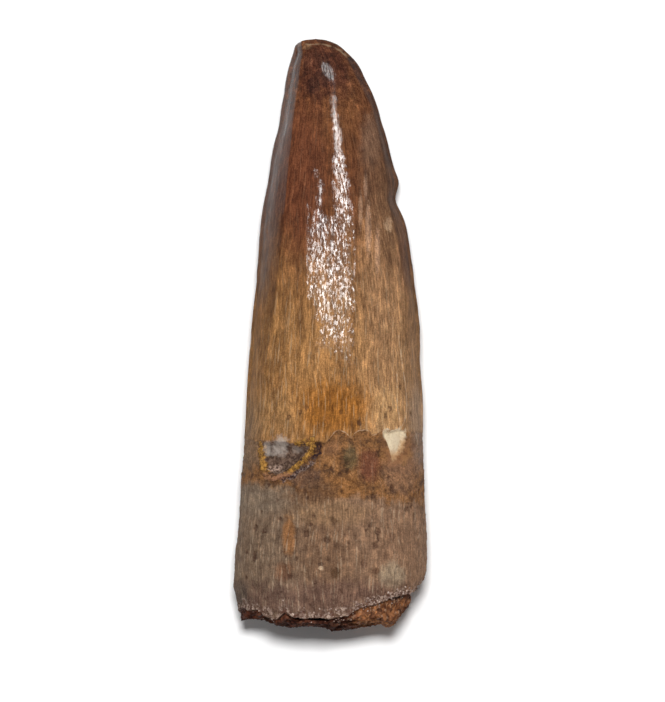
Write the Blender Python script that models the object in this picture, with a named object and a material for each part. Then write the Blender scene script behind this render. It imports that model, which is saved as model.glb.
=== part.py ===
"""Fossil crocodile tooth, lying on its flatter side with the tip towards +Y.

The tooth is one piece that grew as one: a glossy crown, the neck, and a root with a broken, jagged end.
The root is hollow there. Hard sandstone fills the hollow and caps the broken wall, as a piece of its own.
The origin is under the middle of the tooth, on the surface that it lies on.
"""

import math

import bmesh
import bpy
import numpy as np
from mathutils import Vector, noise

MM = 0.001

# The tooth from its tip to its broken end, in millimetres: how far along, its left and right edges
# as seen from above, its underside and its top. The tip closes to one point.
STATIONS = (
    (35.0, -1.7, -1.7, 1.70, 1.70),
    (34.7, -3.5, -0.1, 0.30, 3.00),
    (34.2, -4.15, 1.0, -0.10, 3.70),
    (33.3, -4.4, 2.0, -0.20, 4.45),
    (32.4, -4.7, 2.9, -0.20, 5.10),
    (30.0, -5.3, 4.25, -0.05, 6.45),
    (27.7, -5.6, 5.3, 0.05, 7.60),
    (25.3, -6.05, 6.05, 0.10, 8.65),
    (21.0, -6.85, 7.25, 0.10, 10.3),
    (16.0, -7.75, 8.2, 0.00, 11.9),
    (11.2, -8.4, 9.3, -0.20, 13.4),
    (6.4, -8.75, 10.0, -0.45, 14.7),
    (1.7, -9.15, 10.6, -0.60, 15.8),
    (-3.0, -9.55, 10.7, -0.65, 16.7),
    (-7.7, -9.85, 11.0, -0.65, 17.3),
    (-12.5, -10.15, 11.0, -0.60, 17.7),
    (-17.2, -10.5, 11.1, -0.45, 17.9),
    (-22.0, -10.85, 11.3, -0.35, 18.0),
    (-26.6, -11.2, 11.45, -0.35, 18.0),
    (-33.6, -10.9, 11.3, -0.30, 17.7),
)
WIDEST_LEVEL = 0.46
SECTION_FULLNESS = 2.15

# The broken end of the root: an angle in degrees from the right edge over the top, and how far along
# the wall ends there, in millimetres. The shape of the tooth is drawn out or in over the last stretch.
BROKEN_RIM = (
    (0, -28.3),
    (18, -29.2),
    (30, -30.4),
    (41, -30.7),
    (52, -31.0),
    (63, -31.8),
    (73, -32.2),
    (80, -33.1),
    (92, -33.4),
    (103, -33.3),
    (113, -33.3),
    (120, -32.7),
    (126, -33.6),
    (135, -33.1),
    (141, -32.3),
    (150, -32.5),
    (172, -32.2),
    (190, -33.0),
    (208, -32.2),
    (228, -33.4),
    (250, -32.5),
    (272, -33.6),
    (298, -32.1),
    (322, -30.6),
    (342, -29.2),
    (360, -28.3),
)
RIM_REACH = 15.0

# The hollow in the root and the sandstone's stem in it.
HOLLOW_MIDDLE_X = 0.3
HOLLOW_MIDDLE_Z = 8.3
HOLLOW_HALF_WIDTH = 8.8
HOLLOW_HALF_HEIGHT = 6.7
HOLLOW_INNER_Y = -26.0
HOLLOW_TAPER = 0.82
GAP = 0.32

# The sandstone's cap over the broken end: its reach towards the tooth's right, left, top and underside
# as a share of the tooth's own, and its rough end from left to right as where and how far along.
CAP_RIGHT = 0.84
CAP_LEFT = 0.965
CAP_UPRIGHT = 0.93
CAP_END = (
    (-10.6, -33.8),
    (-9.3, -33.6),
    (-7.85, -33.7),
    (-6.4, -34.3),
    (-4.7, -34.6),
    (-2.4, -34.4),
    (-0.7, -34.6),
    (0.25, -35.0),
    (1.6, -34.9),
    (4.4, -34.5),
    (6.0, -34.2),
    (6.6, -34.6),
    (7.2, -34.5),
    (7.8, -34.0),
    (8.5, -33.0),
    (9.2, -32.2),
    (9.7, -31.2),
)
CAP_END_ROUNDING = 1.3
CAP_LEAST_SIDE = 0.35
DIP_DEPTH = 0.75
DIP_SIZE = 2.1
SANDSTONE_LOWEST = 0.05

# Relief of the tooth.
CARINA_HEIGHT = 0.35
CARINA_HALF_WIDTH = 0.75
ENAMEL_EDGE_Y = -11.8
ENAMEL_EDGE_SCALLOP = 0.4
SCALLOPS_PER_MM = 0.42
NECK_SINK = 0.28
NECK_LENGTH = 7.4
FLUTE_DEPTH = 0.10
FLUTE_ANGLES = (62.0, 92.0, 121.0)
FLUTE_HALF_ANGLE = 7.0
CROWN_TOP_Y = 33.0
WAVINESS = 0.16
WAVE_SIZE = 6.5
TIP_LENGTH = 1.5

# Damage seen from above, in millimetres: its middle, its half size, and how far it stands out.
CHIP_AT_NECK = ((-4.6, -15.0), (4.1, 3.0), -0.60)
PALE_CHIP = ((8.0, -13.4), (1.3, 1.9), -0.45)
FLAKE_NEAR_TIP = ((-0.6, 30.6), (2.6, 2.4), -0.15)
NECK_SWELLING = ((2.4, -13.7), (2.6, 1.6), 0.20)
STAINED_SCAR = ((-4.8, -23.7), (0.9, 2.2), -0.25)
DENTS = (
    ((-5.5, -27.9), (1.2, 1.1), -0.35),
    ((-1.1, -27.3), (0.9, 0.9), -0.35),
    ((0.6, -28.2), (1.0, 0.9), -0.35),
    ((4.0, -27.0), (0.8, 0.9), -0.30),
    ((7.2, -24.2), (0.9, 1.5), -0.30),
    ((5.4, -28.3), (1.2, 1.0), -0.30),
    ((-8.4, -30.2), (1.0, 1.0), -0.30),
)
TOP_MARKS = (
    CHIP_AT_NECK,
    PALE_CHIP,
    FLAKE_NEAR_TIP,
    NECK_SWELLING,
    STAINED_SCAR,
) + DENTS

# Bumps and nicks on the edges: degrees, how far along, half length, and how far they stand out.
EDGE_MARKS = (
    (0.0, 18.0, 1.3, 0.32),
    (0.0, 15.8, 1.5, -0.50),
    (180.0, -29.6, 1.2, 0.25),
    (180.0, 25.0, 1.4, -0.12),
)
EDGE_MARK_HALF_ANGLE = 26.0

# How finely the shapes are divided.
SIDES = 64
OUTSIDE_RINGS = 56
HOLLOW_RINGS = 4
CAP_SIDES = 48
CAP_END_RINGS = 10
CAP_SIDE_RINGS = 2
STEM_RINGS = 4


def clear_scene():
    """Removes every object, so that only the tooth is left."""
    for old in list(bpy.data.objects):
        bpy.data.objects.remove(old)


def smooth_step(low, high, value):
    """0 below low, 1 above high, and a smooth rise between them."""
    f = min(max((value - low) / (high - low), 0.0), 1.0)
    return f * f * (3.0 - 2.0 * f)


def bell(distance):
    """1 at no distance, falling smoothly to nothing at about 2."""
    return math.exp(-distance * distance)


def angle_between(a, b):
    """Smallest angle between two directions, in degrees."""
    return abs((a - b + 180.0) % 360.0 - 180.0)


def line_through(points, where):
    """Height of the open line through the points at that place."""
    places, heights = zip(*points)
    return float(np.interp(where, places, heights))


class SmoothCurve:
    """A smooth curve through points, measured by its length from the first one."""

    def __init__(self, points):
        self.points = np.array(points, float)
        steps = np.linalg.norm(np.diff(self.points, axis=0), axis=1)
        self.knots = np.concatenate([[0.0], np.cumsum(steps)])
        self.slopes = np.gradient(self.points, self.knots, axis=0)
        self.length = float(self.knots[-1])

    def at(self, distance):
        """The point that far along the curve."""
        last = len(self.knots) - 2
        i = int(np.clip(np.searchsorted(self.knots, distance, side="right") - 1, 0, last))
        step = self.knots[i + 1] - self.knots[i]
        f = (distance - self.knots[i]) / step
        start = (1 + 2 * f) * self.points[i] + f * step * self.slopes[i]
        end = (3 - 2 * f) * self.points[i + 1] - (1 - f) * step * self.slopes[i + 1]
        return start * (1 - f) ** 2 + end * f * f


FORM = SmoothCurve(STATIONS)


def section_point(middle, half_width, half_height, angle):
    """A point on an oval that is a little fuller than an ellipse."""
    c, s = math.cos(angle), math.sin(angle)
    fullness = abs(c) ** SECTION_FULLNESS + abs(s) ** SECTION_FULLNESS
    radius = fullness ** (-1.0 / SECTION_FULLNESS)
    return middle[0] + half_width * c * radius, middle[1] + half_height * s * radius


def section_of(station, angle):
    """Middle, half width and half height of the tooth's section on the side that the angle points to."""
    _, left, right, under, top = station
    middle_z = under + WIDEST_LEVEL * (top - under)
    half_height = top - middle_z if math.sin(angle) > 0 else middle_z - under
    return ((left + right) / 2, middle_z), max((right - left) / 2, 0.0), half_height


def rim_at(angle):
    """How far along the root's broken wall ends at that angle round it."""
    return line_through(BROKEN_RIM, math.degrees(angle) % 360.0)


def crown_share(along):
    """1 on the crown, 0 on the root and at the very tip."""
    start = smooth_step(ENAMEL_EDGE_Y - 1.0, ENAMEL_EDGE_Y + 3.0, along)
    return start * (1.0 - smooth_step(CROWN_TOP_Y, CROWN_TOP_Y + 2.0, along))


def neck_sink(x, along):
    """How deep the neck lies under the enamel's scalloped edge, fading out down the root."""
    edge = ENAMEL_EDGE_Y + ENAMEL_EDGE_SCALLOP * math.sin(2.0 * math.pi * SCALLOPS_PER_MM * x)
    below = edge - along
    return NECK_SINK * smooth_step(0.0, 0.9, below) * (1.0 - smooth_step(1.5, NECK_LENGTH, below))


def relief(x, along, angle, half_width):
    """How far the surface stands out there, in millimetres."""
    degrees = math.degrees(angle) % 360.0
    upward = math.sin(angle)
    place = Vector((x, along, upward * half_width)) / WAVE_SIZE
    height = WAVINESS * noise.fractal(place, 0.8, 2.0, 3)
    height -= neck_sink(x, along) * (0.3 + 0.7 * abs(upward))
    crown = crown_share(along)
    edge_distance = min(angle_between(degrees, 0.0), angle_between(degrees, 180.0))
    across = math.radians(edge_distance) * half_width / CARINA_HALF_WIDTH
    height -= CARINA_HEIGHT * crown * (1.0 - bell(across))
    for flute in FLUTE_ANGLES:
        height -= FLUTE_DEPTH * crown * bell(angle_between(degrees, flute) / FLUTE_HALF_ANGLE)
    if upward > 0:
        for (middle_x, middle_y), (half_x, half_y), size in TOP_MARKS:
            far = math.hypot((x - middle_x) / half_x, (along - middle_y) / half_y)
            height += size * (1.0 - smooth_step(0.5, 1.1, far))
    for side, middle_y, half_length, size in EDGE_MARKS:
        across = angle_between(degrees, side) / EDGE_MARK_HALF_ANGLE
        height += size * bell((along - middle_y) / half_length) * bell(across)
    return height


def outside_point(angle, share):
    """A point of the tooth's outside: angle round it, and share 0 at the tip to 1 at the broken rim."""
    distance = share * FORM.length
    station = FORM.at(distance)
    left_over = FORM.length - distance
    draw = max(0.0, 1.0 - left_over / RIM_REACH) ** 2
    along = station[0] + (rim_at(angle) - STATIONS[-1][0]) * draw
    middle, half_width, half_height = section_of(station, angle)
    x, z = section_point(middle, half_width, half_height, angle)
    height = relief(x, along, angle, half_width) * smooth_step(0.0, TIP_LENGTH, distance)
    return x + height * math.cos(angle), along, max(z + height * math.sin(angle), 0.0)


def hollow_point(angle, share, inset):
    """A point inset from the hollow's wall: share 0 at the broken rim to 1 at the hollow's inner end."""
    rim = rim_at(angle) - inset
    along = rim + (HOLLOW_INNER_Y - inset - rim) * share
    size = 1.0 + (HOLLOW_TAPER - 1.0) * share
    x, z = section_point(
        (HOLLOW_MIDDLE_X, HOLLOW_MIDDLE_Z),
        HOLLOW_HALF_WIDTH * size - inset,
        HOLLOW_HALF_HEIGHT * size - inset,
        angle,
    )
    return x, along, z


def cap_point(angle, share, side):
    """A point of the cap: share 0 in the middle of its end to 1 at its edge, and side 0 to 1 back to the rim."""
    middle, half_width, half_height = section_of(STATIONS[-1], angle)
    toward_right = math.cos(angle)
    reach = CAP_UPRIGHT
    reach += (CAP_RIGHT - reach if toward_right > 0 else CAP_LEFT - reach) * toward_right**2
    x, z = section_point(middle, half_width * reach * share, half_height * reach * share, angle)
    dip = DIP_DEPTH * abs(noise.fractal(Vector((x, z, side)) / DIP_SIZE, 0.7, 2.0, 3))
    rounding = CAP_END_ROUNDING * (share * math.sin(angle)) ** 2
    rim = rim_at(angle) - GAP
    end = min(line_through(CAP_END, x) + rounding + dip, rim - CAP_LEAST_SIDE)
    inward = dip * share * (1.0 - side)
    x -= inward * math.cos(angle)
    z -= inward * math.sin(angle)
    return x, end + (rim - end) * side, max(z, SANDSTONE_LOWEST)


def ringed_solid(sides, rings, point_of):
    """A closed solid of rings from one pole to the other, each corner put where point_of says."""
    bm = bmesh.new()
    bmesh.ops.create_uvsphere(bm, u_segments=sides, v_segments=rings, radius=1.0)
    for v in bm.verts:
        ring = round(math.acos(max(-1.0, min(1.0, v.co.z))) / math.pi * rings)
        angle = math.atan2(v.co.y, v.co.x)
        v.co = Vector(point_of(angle, ring)) * MM
    if bm.calc_volume(signed=True) < 0:
        bmesh.ops.reverse_faces(bm, faces=bm.faces)
    return bm


def finish_object(bm, name, material, sharp_degrees, collection):
    """Turns the bmesh into a named object of the collection, shaded smooth."""
    mesh = bpy.data.meshes.new(name)
    bm.to_mesh(mesh)
    bm.free()
    mesh.materials.append(material)
    mesh.shade_smooth()
    mesh.set_sharp_from_angle(angle=math.radians(sharp_degrees))
    made = bpy.data.objects.new(name, mesh)
    collection.objects.link(made)


def make_material(name, colour, roughness):
    """A plain Principled material of that colour."""
    material = bpy.data.materials.new(name)
    material.use_nodes = True
    shader = material.node_tree.nodes["Principled BSDF"]
    shader.inputs["Base Color"].default_value = (*colour, 1.0)
    shader.inputs["Roughness"].default_value = roughness
    shader.inputs["Metallic"].default_value = 0.0
    return material


def make_tooth(collection):
    """Crown, neck and root in one, with the hollow in the root's broken end."""

    def corner(angle, ring):
        if ring <= OUTSIDE_RINGS:
            return outside_point(angle, ring / OUTSIDE_RINGS)
        inward = ring - OUTSIDE_RINGS - 1
        if inward < HOLLOW_RINGS - 1:
            return hollow_point(angle, inward / (HOLLOW_RINGS - 2), 0.0)
        return HOLLOW_MIDDLE_X, HOLLOW_INNER_Y, HOLLOW_MIDDLE_Z

    bm = ringed_solid(SIDES, OUTSIDE_RINGS + HOLLOW_RINGS, corner)
    material = make_material("fossil_tooth", (0.23, 0.12, 0.06), 0.35)
    finish_object(bm, "tooth", material, 50.0, collection)


def make_sandstone(collection):
    """The sandstone: a rough cap over the broken wall, and a short stem in the hollow."""

    def corner(angle, ring):
        if ring == 0:
            return cap_point(0.0, 0.0, 0.0)
        if ring <= CAP_END_RINGS:
            return cap_point(angle, ring / CAP_END_RINGS, 0.0)
        on_side = ring - CAP_END_RINGS
        if on_side <= CAP_SIDE_RINGS:
            return cap_point(angle, 1.0, on_side / CAP_SIDE_RINGS)
        inward = on_side - CAP_SIDE_RINGS - 1
        if inward < STEM_RINGS - 1:
            return hollow_point(angle, inward / (STEM_RINGS - 2), GAP)
        return HOLLOW_MIDDLE_X, HOLLOW_INNER_Y - GAP, HOLLOW_MIDDLE_Z

    bm = ringed_solid(CAP_SIDES, CAP_END_RINGS + CAP_SIDE_RINGS + STEM_RINGS, corner)
    material = make_material("rusty_sandstone", (0.16, 0.07, 0.04), 0.95)
    finish_object(bm, "sandstone_matrix", material, 35.0, collection)


def make_model():
    """Builds the tooth and the sandstone in its root."""
    clear_scene()
    collection = bpy.data.collections.new("fossil_crocodile_tooth")
    bpy.context.scene.collection.children.link(collection)
    make_tooth(collection)
    make_sandstone(collection)


make_model()
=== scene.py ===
import math
from functools import cached_property, reduce

import bmesh
import bpy
import numpy as np
from bpy.props import FloatProperty, FloatVectorProperty, IntProperty, PointerProperty
from mathutils import Matrix, Vector, noise
from mathutils.bvhtree import BVHTree


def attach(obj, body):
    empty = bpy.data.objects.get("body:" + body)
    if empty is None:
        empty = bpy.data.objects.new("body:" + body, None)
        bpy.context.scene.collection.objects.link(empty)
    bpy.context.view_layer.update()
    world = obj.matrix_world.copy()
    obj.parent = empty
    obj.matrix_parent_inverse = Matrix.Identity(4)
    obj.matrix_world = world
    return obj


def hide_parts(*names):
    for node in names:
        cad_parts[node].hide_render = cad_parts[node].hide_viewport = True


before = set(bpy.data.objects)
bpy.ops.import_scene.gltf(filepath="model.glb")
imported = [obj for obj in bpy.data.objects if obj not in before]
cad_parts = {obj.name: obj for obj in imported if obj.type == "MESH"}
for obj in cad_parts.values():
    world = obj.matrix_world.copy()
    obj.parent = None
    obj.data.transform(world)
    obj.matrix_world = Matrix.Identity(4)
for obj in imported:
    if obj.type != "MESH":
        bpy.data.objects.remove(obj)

bl_info = {
    "name": "Fossil Crocodile Tooth",
    "version": (1, 0, 0),
    "blender": (4, 5, 0),
    "location": "3D View > Sidebar > Fossil Tooth",
    "description": "Makes a fossil crocodile tooth's enamel, root and sandstone, and a studio",
    "category": "Add Mesh",
}

MM = 0.001
BODY = "root"

# All sizes below are in millimetres.
# The tooth's form, as in the solid: how far along, left, right, underside and top.
STATIONS = (
    (35.0, -1.7, -1.7, 1.70, 1.70),
    (34.7, -3.5, -0.1, 0.30, 3.00),
    (34.2, -4.15, 1.0, -0.10, 3.70),
    (33.3, -4.4, 2.0, -0.20, 4.45),
    (32.4, -4.7, 2.9, -0.20, 5.10),
    (30.0, -5.3, 4.25, -0.05, 6.45),
    (27.7, -5.6, 5.3, 0.05, 7.60),
    (25.3, -6.05, 6.05, 0.10, 8.65),
    (21.0, -6.85, 7.25, 0.10, 10.3),
    (16.0, -7.75, 8.2, 0.00, 11.9),
    (11.2, -8.4, 9.3, -0.20, 13.4),
    (6.4, -8.75, 10.0, -0.45, 14.7),
    (1.7, -9.15, 10.6, -0.60, 15.8),
    (-3.0, -9.55, 10.7, -0.65, 16.7),
    (-7.7, -9.85, 11.0, -0.65, 17.3),
    (-12.5, -10.15, 11.0, -0.60, 17.7),
    (-17.2, -10.5, 11.1, -0.45, 17.9),
    (-22.0, -10.85, 11.3, -0.35, 18.0),
    (-26.6, -11.2, 11.45, -0.35, 18.0),
    (-33.6, -10.9, 11.3, -0.30, 17.7),
)
WIDEST_LEVEL = 0.46
SECTION_FULLNESS = 2.15
# Where the root's broken wall ends: the angle round it, and how far along.
BROKEN_RIM = (
    (0, -28.3), (18, -29.2), (30, -30.4), (41, -30.7), (52, -31.0), (63, -31.8), (73, -32.2),
    (80, -33.1), (92, -33.4), (103, -33.3), (113, -33.3), (120, -32.7), (126, -33.6), (135, -33.1),
    (141, -32.3), (150, -32.5), (172, -32.2), (190, -33.0), (208, -32.2), (228, -33.4),
    (250, -32.5), (272, -33.6), (298, -32.1), (322, -30.6), (342, -29.2), (360, -28.3),
)
RIM_REACH = 15.0
RIM_FRAY = 0.16
RIM_FRAY_REACH = 1.2
RIM_FRAY_SIZE = 0.9
RIM_FRAY_SEED = 5.5
PAST_RIM = 0.5
WALL_ROUGHNESS = 0.12
WALL_LUMP_SIZE = 0.8
WALL_SEED = 21.0
HOLLOW_MIDDLE = (0.3, 8.3)
HOLLOW_HALF_WIDTH = 8.8
HOLLOW_HALF_HEIGHT = 6.7
HOLLOW_INNER_Y = -26.0
HOLLOW_TAPER = 0.82
GAP = 0.32
# The sandstone's rough end: its share of the root's section, and how far it reaches along X.
CAP_RIGHT = 0.84
CAP_LEFT = 0.965
CAP_UPRIGHT = 0.93
CAP_END = (
    (-10.6, -33.8), (-9.3, -33.6), (-7.85, -33.7), (-6.4, -34.3), (-4.7, -34.6), (-2.4, -34.4),
    (-0.7, -34.6), (0.25, -35.0), (1.6, -34.9), (4.4, -34.5), (6.0, -34.2), (6.6, -34.6),
    (7.2, -34.5), (7.8, -34.0), (8.5, -33.0), (9.2, -32.2), (9.7, -31.2),
)
CAP_END_ROUNDING = 1.3
CAP_LEAST_SIDE = 0.35
DIP_DEPTH = 0.75
DIP_SIZE = 2.1
DIP_DECAY = 0.7
STEM_RINGS = 6
ROCK_GRAIN_BULGE = 0.16
ROCK_GRAIN_SINK = 0.12
ROCK_GRAIN_WIDTH = 0.42
ROCK_ROUGHNESS = 0.10
ROCK_LUMP_SIZE = 0.5
ROCK_SEED = 4.0
ROCK_SMOOTH_EDGE = (0.8, 1.0)
SANDSTONE_LOWEST = 0.05
# The share of the loose grains that stays at each place along X.
GRAIN_SHARE = (
    (-10.0, 0.1), (-6.0, 0.15), (-4.0, 0.25), (-3.0, 0.8), (1.2, 0.9), (2.0, 0.3), (2.8, 1.0),
    (8.0, 0.9), (9.4, 0.1),
)
# Loose grains: their angles in degrees, mean and spread past the rim, inset along X, and shapes.
GRAIN_ANGLES = (28.0, 152.0)
GRAIN_SPREAD = (0.25, 0.5)
GRAIN_INSET = 0.985
GRAIN_PLACE_SEED = 8
GRAIN_SHAPE_SEED = 5
GRAIN_SIZES = (0.5, 1.0)
GRAIN_STRETCH = (0.7, 1.2)
GRAIN_LIFT = 0.1
DROP_HEIGHT = 40.0
# How wide the dark gap between rock and wall is along X, on the upper side.
OPEN_GAP = (
    (-5.1, 0.05), (-4.6, 0.50), (-3.7, 0.50), (-3.1, 0.14), (-2.4, 0.30), (-0.3, 0.30), (0.3, 0.04),
)

# Broad relief of the tooth, as in the solid.
CARINA_HEIGHT = 0.35
CARINA_HALF_WIDTH = 0.75
# How far the neck lies below the enamel: a sharp step and a slope, by share and length.
NECK_SINK = 0.28
NECK_SINK_AT_SIDES = 0.3
NECK_STEPS = ((0.55, 0.14), (0.45, 0.9))
NECK_END = (1.5, 7.4)
FLUTE_DEPTH = 0.10
FLUTE_ANGLES = (62.0, 121.0)
FLUTE_HALF_ANGLE = 7.0
CROWN_FOOT = (-12.8, -8.8)
CROWN_TOP = (33.0, 35.0)
WAVINESS = 0.16
WAVE_SIZE = 6.5
TIP_LENGTH = 1.5
# The flake near the tip and the neck's swelling: middle, half size and height.
BROAD_MARKS = (
    ((-0.6, 30.6), (2.6, 2.4), -0.15),
    ((2.4, -13.7), (2.6, 1.6), 0.20),
)
# The root's scar and dents, of which only a share of the solid's depth is needed here.
DENT_SHARE = 0.4
DENTS = (
    ((-4.8, -23.7), (0.9, 2.2), -0.25),
    ((-5.5, -27.9), (1.2, 1.1), -0.35),
    ((-1.1, -27.3), (0.9, 0.9), -0.35),
    ((0.6, -28.2), (1.0, 0.9), -0.35),
    ((4.0, -27.0), (0.8, 0.9), -0.30),
    ((7.2, -24.2), (0.9, 1.5), -0.30),
    ((5.4, -28.3), (1.2, 1.0), -0.30),
    ((-8.4, -30.2), (1.0, 1.0), -0.30),
)
DENT_EDGE = (0.4, 1.1)
# Bumps and notches of the edges: the edge's angle, middle along the tooth, half length and height.
EDGE_MARKS = (
    (0.0, 18.0, 1.3, 0.32),
    (0.0, 15.8, 1.5, -0.50),
    (180.0, -29.6, 1.2, 0.25),
    (180.0, 25.0, 1.4, -0.12),
)
EDGE_MARK_HALF_ANGLE = 26.0

# Outlines of the marks on the upper side: right of the middle, and towards the tip.
ENAMEL_EDGE = (
    (-10.3, -12.1), (-9.4, -12.3), (-8.6, -12.6), (-8.0, -12.4), (-7.1, -12.8), (-5.7, -12.6),
    (-4.5, -12.9), (-3.4, -12.4), (-2.4, -12.2), (-1.5, -12.5), (-0.6, -12.8), (0.1, -12.0),
    (0.6, -11.4), (1.1, -11.2), (1.8, -11.5), (2.6, -12.2), (2.9, -11.6), (3.4, -11.3),
    (4.3, -11.2), (4.7, -11.4), (5.1, -11.9), (5.6, -11.7), (6.2, -11.3), (8.8, -11.3),
    (9.2, -11.6), (10.0, -11.4), (11.0, -11.6),
)
NECK_CHIP = (
    (-8.0, -12.8), (-6.8, -12.5), (-5.8, -12.6), (-4.7, -12.8), (-3.6, -12.6), (-2.7, -12.7),
    (-2.3, -13.3), (-2.7, -14.0), (-3.4, -14.8), (-4.1, -15.4), (-4.9, -16.0), (-5.8, -16.5),
    (-6.6, -16.5), (-7.3, -16.2), (-7.8, -15.4), (-8.1, -14.3), (-8.1, -13.4),
)
CREAM_CHIP = (
    (6.5, -11.3), (6.8, -11.1), (7.2, -11.5), (7.7, -11.3), (8.1, -11.1), (8.9, -11.3),
    (9.0, -11.7), (9.0, -12.7), (8.7, -13.5), (8.4, -14.1), (7.9, -14.5), (7.4, -15.0),
    (7.4, -14.3), (7.2, -13.5), (6.9, -12.7), (6.5, -11.9),
)
OCHRE_LINES = (
    ((-8.15, -12.9), (-8.2, -13.8), (-8.1, -14.8), (-7.9, -15.7), (-7.55, -16.3)),
    (
        (-2.1, -12.3), (-2.1, -13.3), (-2.5, -14.0), (-3.2, -14.8), (-3.9, -15.4), (-4.7, -16.05),
        (-5.6, -16.6), (-6.6, -16.9), (-7.3, -16.9),
    ),
    ((-4.0, -12.8), (-3.0, -12.7), (-2.1, -12.9)),
)
DARK_GROOVE = (
    (
        (-1.4, -13.0), (-1.4, -13.6), (-2.0, -14.6), (-2.6, -15.4), (-3.5, -15.9), (-4.5, -16.6),
        (-5.7, -17.05),
    ),
)
# Pale cracks on the lower crown, and a painted glint as a short stroke at the right edge.
CRACKS_AND_GLINT = (
    (
        (8.4, 0.0), (8.6, -1.8), (8.8, -3.6), (9.2, -5.8), (9.4, -7.8), (9.3, -9.1), (8.9, -10.3),
        (8.4, -11.1),
    ),
    ((8.1, -4.2), (8.1, -6.5), (8.1, -8.1), (8.3, -9.7), (8.4, -11.1)),
    # The painted glint.
    ((10.3, -11.7), (10.4, -13.0)),
)
WORN_TIP_LINE = (
    ((-3.2, 34.4), (-2.4, 34.3), (-1.4, 34.4), (-0.6, 34.3), (0.2, 34.1), (1.4, 33.6), (2.3, 32.8)),
)
CHIP_DEPTH = 0.42
CHIP_WALL = 0.7
CREAM_DEPTH = 0.45
CREAM_WALL = 0.25
CRUST_HALF_WIDTH = 0.30
CRUST_HEIGHT = 0.20
GROOVE_HALF_WIDTH = 0.32
GROOVE_DEPTH = 0.28
FAR = 5.0

# The crown's low forms: ridges as points, half width and height, and the flat facet between them.
RIDGES = (
    (((-2.5, 19.6), (-2.0, 17.6), (-2.4, 14.5)), 0.8, 0.10),
    (((-3.0, 17.0), (-3.1, 12.5), (-3.0, 8.0)), 0.35, 0.05),
    (((2.8, 17.5), (3.0, 12.0), (2.9, 4.5)), 0.35, 0.05),
)
# Where handling has polished the enamel: lines along its top, each with its half width.
POLISHED = (
    (((-0.6, 31.6), (0.5, 30.4), (0.7, 29.6)), 0.48),
    (((0.4, 29.4), (0.6, 26.4), (0.85, 24.2)), 0.24),
    (((0.85, 24.2), (1.0, 22.4), (1.0, 20.2)), 0.38),
    (((1.1, 20.6), (1.2, 18.0)), 0.60),
    (((1.3, 18.0), (1.5, 15.5), (1.6, 13.0)), 0.90),
    (((-1.8, 19.3), (-1.1, 17.6), (-1.5, 14.5)), 0.15),
    (((-1.5, 14.2), (-1.1, 12.4)), 0.60),
    (((-2.9, 15.2), (-3.05, 8.8)), 0.24),
    (((2.0, 18.4), (2.4, 14.6), (2.7, 10.7), (3.1, 7.6), (3.25, 6.0)), 0.22),
    (((-0.3, 11.4), (-0.3, 9.0)), 2.5),
    (((0.2, 9.0), (0.4, 3.4)), 2.5),
    (((-1.6, 8.8), (-1.5, 5.6)), 1.6),
    (((0.5, 4.0), (0.8, 0.4)), 1.9),
    (((-0.9, -1.1), (2.4, -1.1)), 0.65),
    (((1.2, -2.0), (2.4, -3.2)), 0.50),
)
# The creases where the upper side turns down to the flanks: right or left, and towards the tip.
LEFT_CREASE = (
    (-3.5, 33.6), (-4.4, 27.2), (-5.1, 20.6), (-5.7, 13.5), (-6.4, 6.9), (-7.3, -1.8), (-8.0, -7.7),
)
RIGHT_CREASE = (
    (2.4, 32.4), (3.8, 29.7), (5.1, 27.2), (5.9, 24.1), (6.6, 20.6), (7.2, 15.9), (8.3, 11.2),
    (9.2, 4.1),
)
CREASE_SLOPE = 0.12
CREASE_REACH = 2.0
FACET_HALF_WIDTH = 3.0
FACET_DEPTH = 0.28
FACET_ENDS = ((-5.0, -1.0), (14.0, 19.0))
CREASE_FADE = 3.0
ENAMEL_BLEND = (-0.3, 0.3)
# Fine furrows along the tooth: their height, and the size, stretch and seed of their noise.
CROWN_FURROW_HEIGHT = 0.022
CROWN_FURROWS = (1.1, 0.11, 3.1)
ROOT_FURROW_HEIGHT = 0.05
ROOT_FURROWS = (0.7, 0.2, 7.7)
# Grit: its size and seed, and its height on the neck, in the chips, on the crust and at the rim.
GRIT_SIZE = 0.45
GRIT_SEED = 11.3
NECK_GRIT = 0.09
NECK_GRIT_END = (4.0, 7.0)
CHIP_GRIT = 0.22
CREAM_GRIT = 0.05
CRUST_GRIT = 0.2
RIM_GRIT = 0.3
RIM_WEAR = 0.05
RIM_WEAR_REACH = (0.3, 1.9)
# Pits: those seen on the crown's foot, and how many more are strewn round the neck and root.
CROWN_PITS = (
    (8.5, -6.1), (7.1, -8.7), (6.6, -9.5), (9.9, -9.3), (-4.5, -9.1), (-5.9, -9.7), (-3.7, -8.6),
    (3.2, -10.4), (0.8, -9.1),
)
CROWN_PIT_RADIUS = 0.22
ROOT_PITS = 260
ROOT_PIT_ENDS = (-31.8, -15.0)
ROOT_PIT_RADII = (0.07, 0.30)
PIT_STRETCH = 1.5
PIT_DEPTH = 0.16
PIT_SEED = 4
# Where each mark's wall starts and ends, from its outline inwards, and how ragged grit makes it.
MARK_WALLS = {
    "pit": (-0.04, 0.2, 0.08),
    "neck_chip": (-0.05, CHIP_WALL, 0.2),
    "cream_chip": (-0.02, CREAM_WALL, 0.08),
    "ochre_crust": (-0.12, 0.16, 0.4),
    "dark_groove": (-0.15, 0.2, 0.3),
}

# Where the surface needs its finest rings: from and to along the tooth, and rings to a millimetre.
RING_ZONES = ((-19.6, -10.6, 10.0), (-31.0, -19.6, 6.0), (-40.0, -31.0, 11.0))
PLAIN_RINGS_PER_MM = 2.7
RING_SAMPLES = 4000
ZONE_BLUR = 60
UPPER_CROWDING = 0.42
UNROLLED_RADIUS = 9.0
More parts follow.
